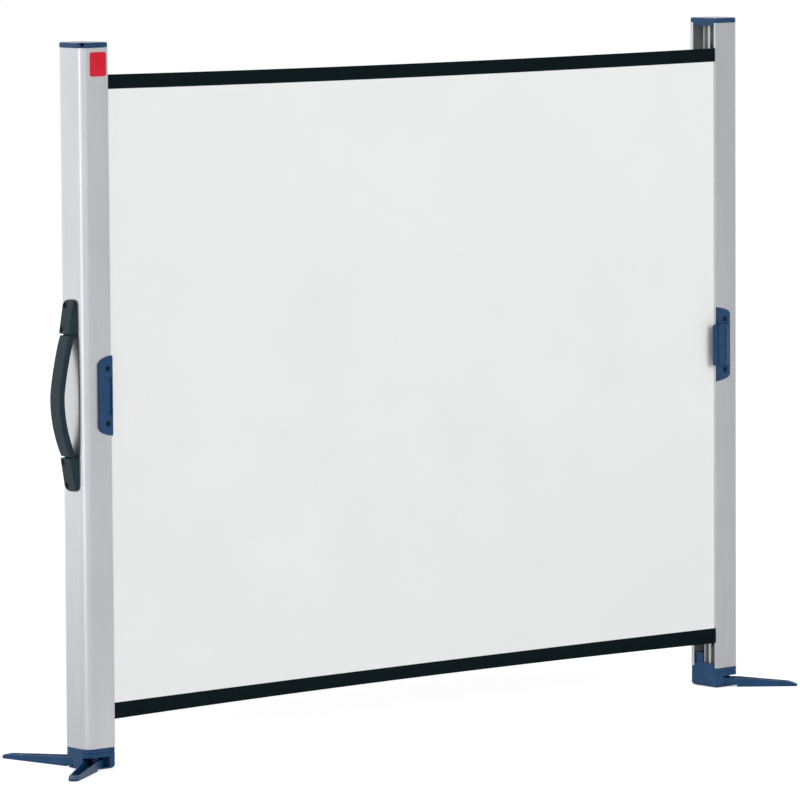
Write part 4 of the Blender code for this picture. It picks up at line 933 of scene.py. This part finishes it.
def make_plate(material):
    """A bare red plate on the front of the left post, under its cap, with rounded corners and edges."""
    low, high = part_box("left_housing")
    right = high.x - PLATE_EDGE_GAP
    top = high.z - PLATE_TOP_GAP
    left, bottom = right - PLATE_WIDTH, top - PLATE_HEIGHT
    centre = Vector(((left + right) / 2, (top + bottom) / 2))
    loop = round_corners(left, right, bottom, top, PLATE_CORNER)
    body = bmesh.new()
    rings = []
    for inset, out in PLATE_RINGS:
        ring = []
        for point in loop:
            away = point - centre
            x, z = centre + away * (1 - inset * MM / away.length)
            ring.append(body.verts.new((x, low.y - out * PLATE_THICKNESS, z)))
        rings.append(ring)
    join_rings(body, rings)
    mesh = bpy.data.meshes.new("red_plate")
    body.to_mesh(mesh)
    body.free()
    mesh.materials.append(material)
    place_piece("red_plate", mesh, "left_post")


# Stage: a white table top, a soft surround and two softboxes

TABLE_REACH = 14
TABLE_GLOW = 0.56
TABLE_LIT = 0.57
TABLE_NEAR = 0.3
TABLE_FAR = 3.5
TABLE_NEAR_LEVEL = 0.7
FILL_LEFT = 0.9
FILL_RIGHT = 0.1
STUDIO_PEAK = 3.2
STUDIO = (
    (-180, 0.9), (-135, 1.4), (-72, 1.4), (-56, 1.0), (-40, 0.9), (10, 0.8), (20, 2.0), (29, 2.0), (38, 0.95),
    (62, 0.86), (96, 0.76), (120, 0.71), (140, 0.6), (168, 0.6), (180, 0.9),
)
LAMP_TARGET = (0.5, 0, 0.45)
LAMPS = (
    ("key_softbox", (1.0, -9.0, 3.2), 6.0, 388),
    ("side_softbox", (-7.0, 2.5, 2.2), 2.4, 230),
)


def studio(tree, toward):
    """How bright the surround is in reflections, by degrees from the outer side of the roller post to the front."""
    away = add(tree, "ShaderNodeVectorMath", {0: toward, "Scale": -1}, operation="SCALE").outputs["Vector"]
    split = add(tree, "ShaderNodeSeparateXYZ", {0: away}).outputs
    angle = add(tree, "ShaderNodeMath", {0: split["Y"], 1: split["X"]}, operation="ARCTAN2")
    turn = add(tree, "ShaderNodeMapRange", {"Value": angle, "From Min": -math.pi, "From Max": math.pi})
    ramp = add(tree, "ShaderNodeValToRGB", {"Fac": turn})
    elements = ramp.color_ramp.elements
    for degrees, level in STUDIO[1:-1]:
        elements.new((degrees + 180) / 360)
    for element, (degrees, level) in zip(elements, STUDIO):
        element.color = (*[level / STUDIO_PEAK] * 3, 1)
    return add(tree, "ShaderNodeMath", {0: ramp, 1: STUDIO_PEAK}, operation="MULTIPLY")


def seen_directly(tree, rays):
    """1 for the camera's own rays, also where they go on through a clear piece."""
    return add(tree, "ShaderNodeMath", {
        0: rays["Is Camera Ray"], 1: rays["Is Transmission Ray"],
    }, operation="MAXIMUM")


def make_table():
    """The pale table top. It glows for the camera, so it is white but keeps the contact shadows.

    Reflections see the studio in it, and the plain table near the roller post.
    """
    material, tree, shader = start_material("white_table_top", {
        "Roughness": 0.6, "Specular IOR Level": 0, "Emission Color": (1, 1, 1, 1),
    })
    place = add(tree, "ShaderNodeTexCoord").outputs["Object"]
    rays = add(tree, "ShaderNodeLightPath").outputs
    reach = add(tree, "ShaderNodeVectorMath", {0: place}, operation="LENGTH").outputs["Value"]
    far = add(tree, "ShaderNodeMapRange", {"Value": reach, "From Min": TABLE_NEAR, "From Max": TABLE_FAR})
    level = add(tree, "ShaderNodeMix", {0: far, 2: TABLE_NEAR_LEVEL, 3: studio(tree, place)}, data_type="FLOAT")
    glow = add(tree, "ShaderNodeMath", {0: level, 1: TABLE_LIT}, operation="SUBTRACT")
    mirrored = add(tree, "ShaderNodeMath", {0: rays["Is Glossy Ray"], 1: glow}, operation="MULTIPLY")
    fill(shader, {
        "Base Color": between(tree, grain(tree, place, 30 * MM), 0.3, 0.7, "#F3F3F3", "#F5F5F5"),
        "Emission Strength": add(tree, "ShaderNodeMix", {
            0: seen_directly(tree, rays), 2: mirrored, 3: TABLE_GLOW,
        }, data_type="FLOAT"),
    })
    mesh = bpy.data.meshes.new("table_top")
    corners = [(-TABLE_REACH, -TABLE_REACH, 0), (TABLE_REACH, -TABLE_REACH, 0),
               (TABLE_REACH, TABLE_REACH, 0), (-TABLE_REACH, TABLE_REACH, 0)]
    mesh.from_pydata(corners, [], [(0, 1, 2, 3)])
    mesh.materials.append(material)
    table = bpy.data.objects.new("table_top", mesh)
    bpy.context.scene.collection.objects.link(table)
    table.location.z = cad_box[0].z


def make_surround():
    """White to the camera. Reflections see a studio, bright behind, with one strip of light at the left."""
    world = bpy.data.worlds.new("white_surround")
    world.use_nodes = True
    bpy.context.scene.world = world
    tree = world.node_tree
    toward = add(tree, "ShaderNodeTexCoord").outputs["Generated"]
    rays = add(tree, "ShaderNodeLightPath").outputs
    fill_light = between(tree, add(tree, "ShaderNodeSeparateXYZ", {0: toward}), -1, 1, FILL_LEFT, FILL_RIGHT)
    mirrored = add(tree, "ShaderNodeMix", {
        0: rays["Is Glossy Ray"], 2: fill_light, 3: studio(tree, toward),
    }, data_type="FLOAT")
    fill(tree.nodes["Background"], {
        "Color": (1, 1, 1, 1),
        "Strength": add(tree, "ShaderNodeMix", {
            0: seen_directly(tree, rays), 2: mirrored, 3: 1.0,
        }, data_type="FLOAT"),
    })


def make_lamps():
    """A softbox in front and one at the left. Reflections see the studio's own levels in their place."""
    for name, place, size, power in LAMPS:
        data = bpy.data.lights.new(name, "AREA")
        data.size = size
        data.energy = power
        lamp = bpy.data.objects.new(name, data)
        lamp.location = place
        lamp.rotation_euler = (Vector(LAMP_TARGET) - Vector(place)).to_track_quat("-Z", "Y").to_euler()
        lamp.visible_glossy = False
        bpy.context.scene.collection.objects.link(lamp)


def main():
    bpy.context.scene.view_settings.view_transform = "Standard"
    make_camera()
    make_table()
    make_surround()
    make_lamps()

    aluminium = anodised_aluminium()
    bore = extruded_bore()
    blue = moulded_plastic("blue_moulded_abs", "#12385C", "#1B456E", 0.30, 0.25)
    slate = moulded_plastic("slate_moulded_abs", "#081F26", "#0F2B33", 0.36, 0.25)
    white = moulded_plastic("white_moulded_abs", "#D4D5D2", "#E2E2E0", 0.42, 0.4)
    zinc = fastener_steel("zinc_plated_steel", "#A9ABAF", "#C9CACC", 0.34)
    black = fastener_steel("black_oxide_steel", "#26282B", "#35383C", 0.42)

    for node in ("left_housing", "right_housing"):
        softened(node, aluminium, HOUSING_EDGE)
        line_bore(node, bore)
    for side in ("left", "right"):
        softened(f"{side}_base", blue, BASE_EDGE)
        softened(f"{side}_base_plate", blue, BASE_PLATE_EDGE)
        for place in ("front", "rear"):
            softened(f"{side}_{place}_foot", blue, FOOT_EDGE)
            paint(f"{side}_{place}_foot_pin", zinc)
    make_left_cap(blue)
    softened("right_top_cap", blue, CAP_EDGE)
    make_keepers(blue)
    make_handle(slate)
    softened("fabric_clamp_bar", slate, CLAMP_EDGE)
    paint("roller_tube", aluminium)
    for node in ("roller_lower_plug", "roller_upper_plug", "spring_anchor", "roller_bearing"):
        paint(node, white)
    for node in ("spring_rod", "roller_spring", "brake_washer", "latch_pin", "latch_leaf_spring"):
        paint(node, zinc)

    make_cloth(screen_cloth(), cloth_backing())
    tree = screw_tree()
    make_screws(tree, "handle_screws", [f"handle_screw_{n}" for n in (1, 2, 3, 4)], 0, PAN_HEAD, black)
    for part in ("catch", "latch"):
        make_screws(tree, f"{part}_screws", [f"{part}_screw_{n}" for n in (1, 2)], 1, PAN_HEAD, black)
    for side in ("left", "right"):
        for part, head in (("base", PAN_HEAD), ("plate", FLAT_HEAD)):
            names = [f"{side}_{part}_screw_{n}" for n in (1, 2)]
            make_screws(tree, f"{side}_{part}_screws", names, 2, head, zinc)
    make_plate(red_gloss_plate())


main()
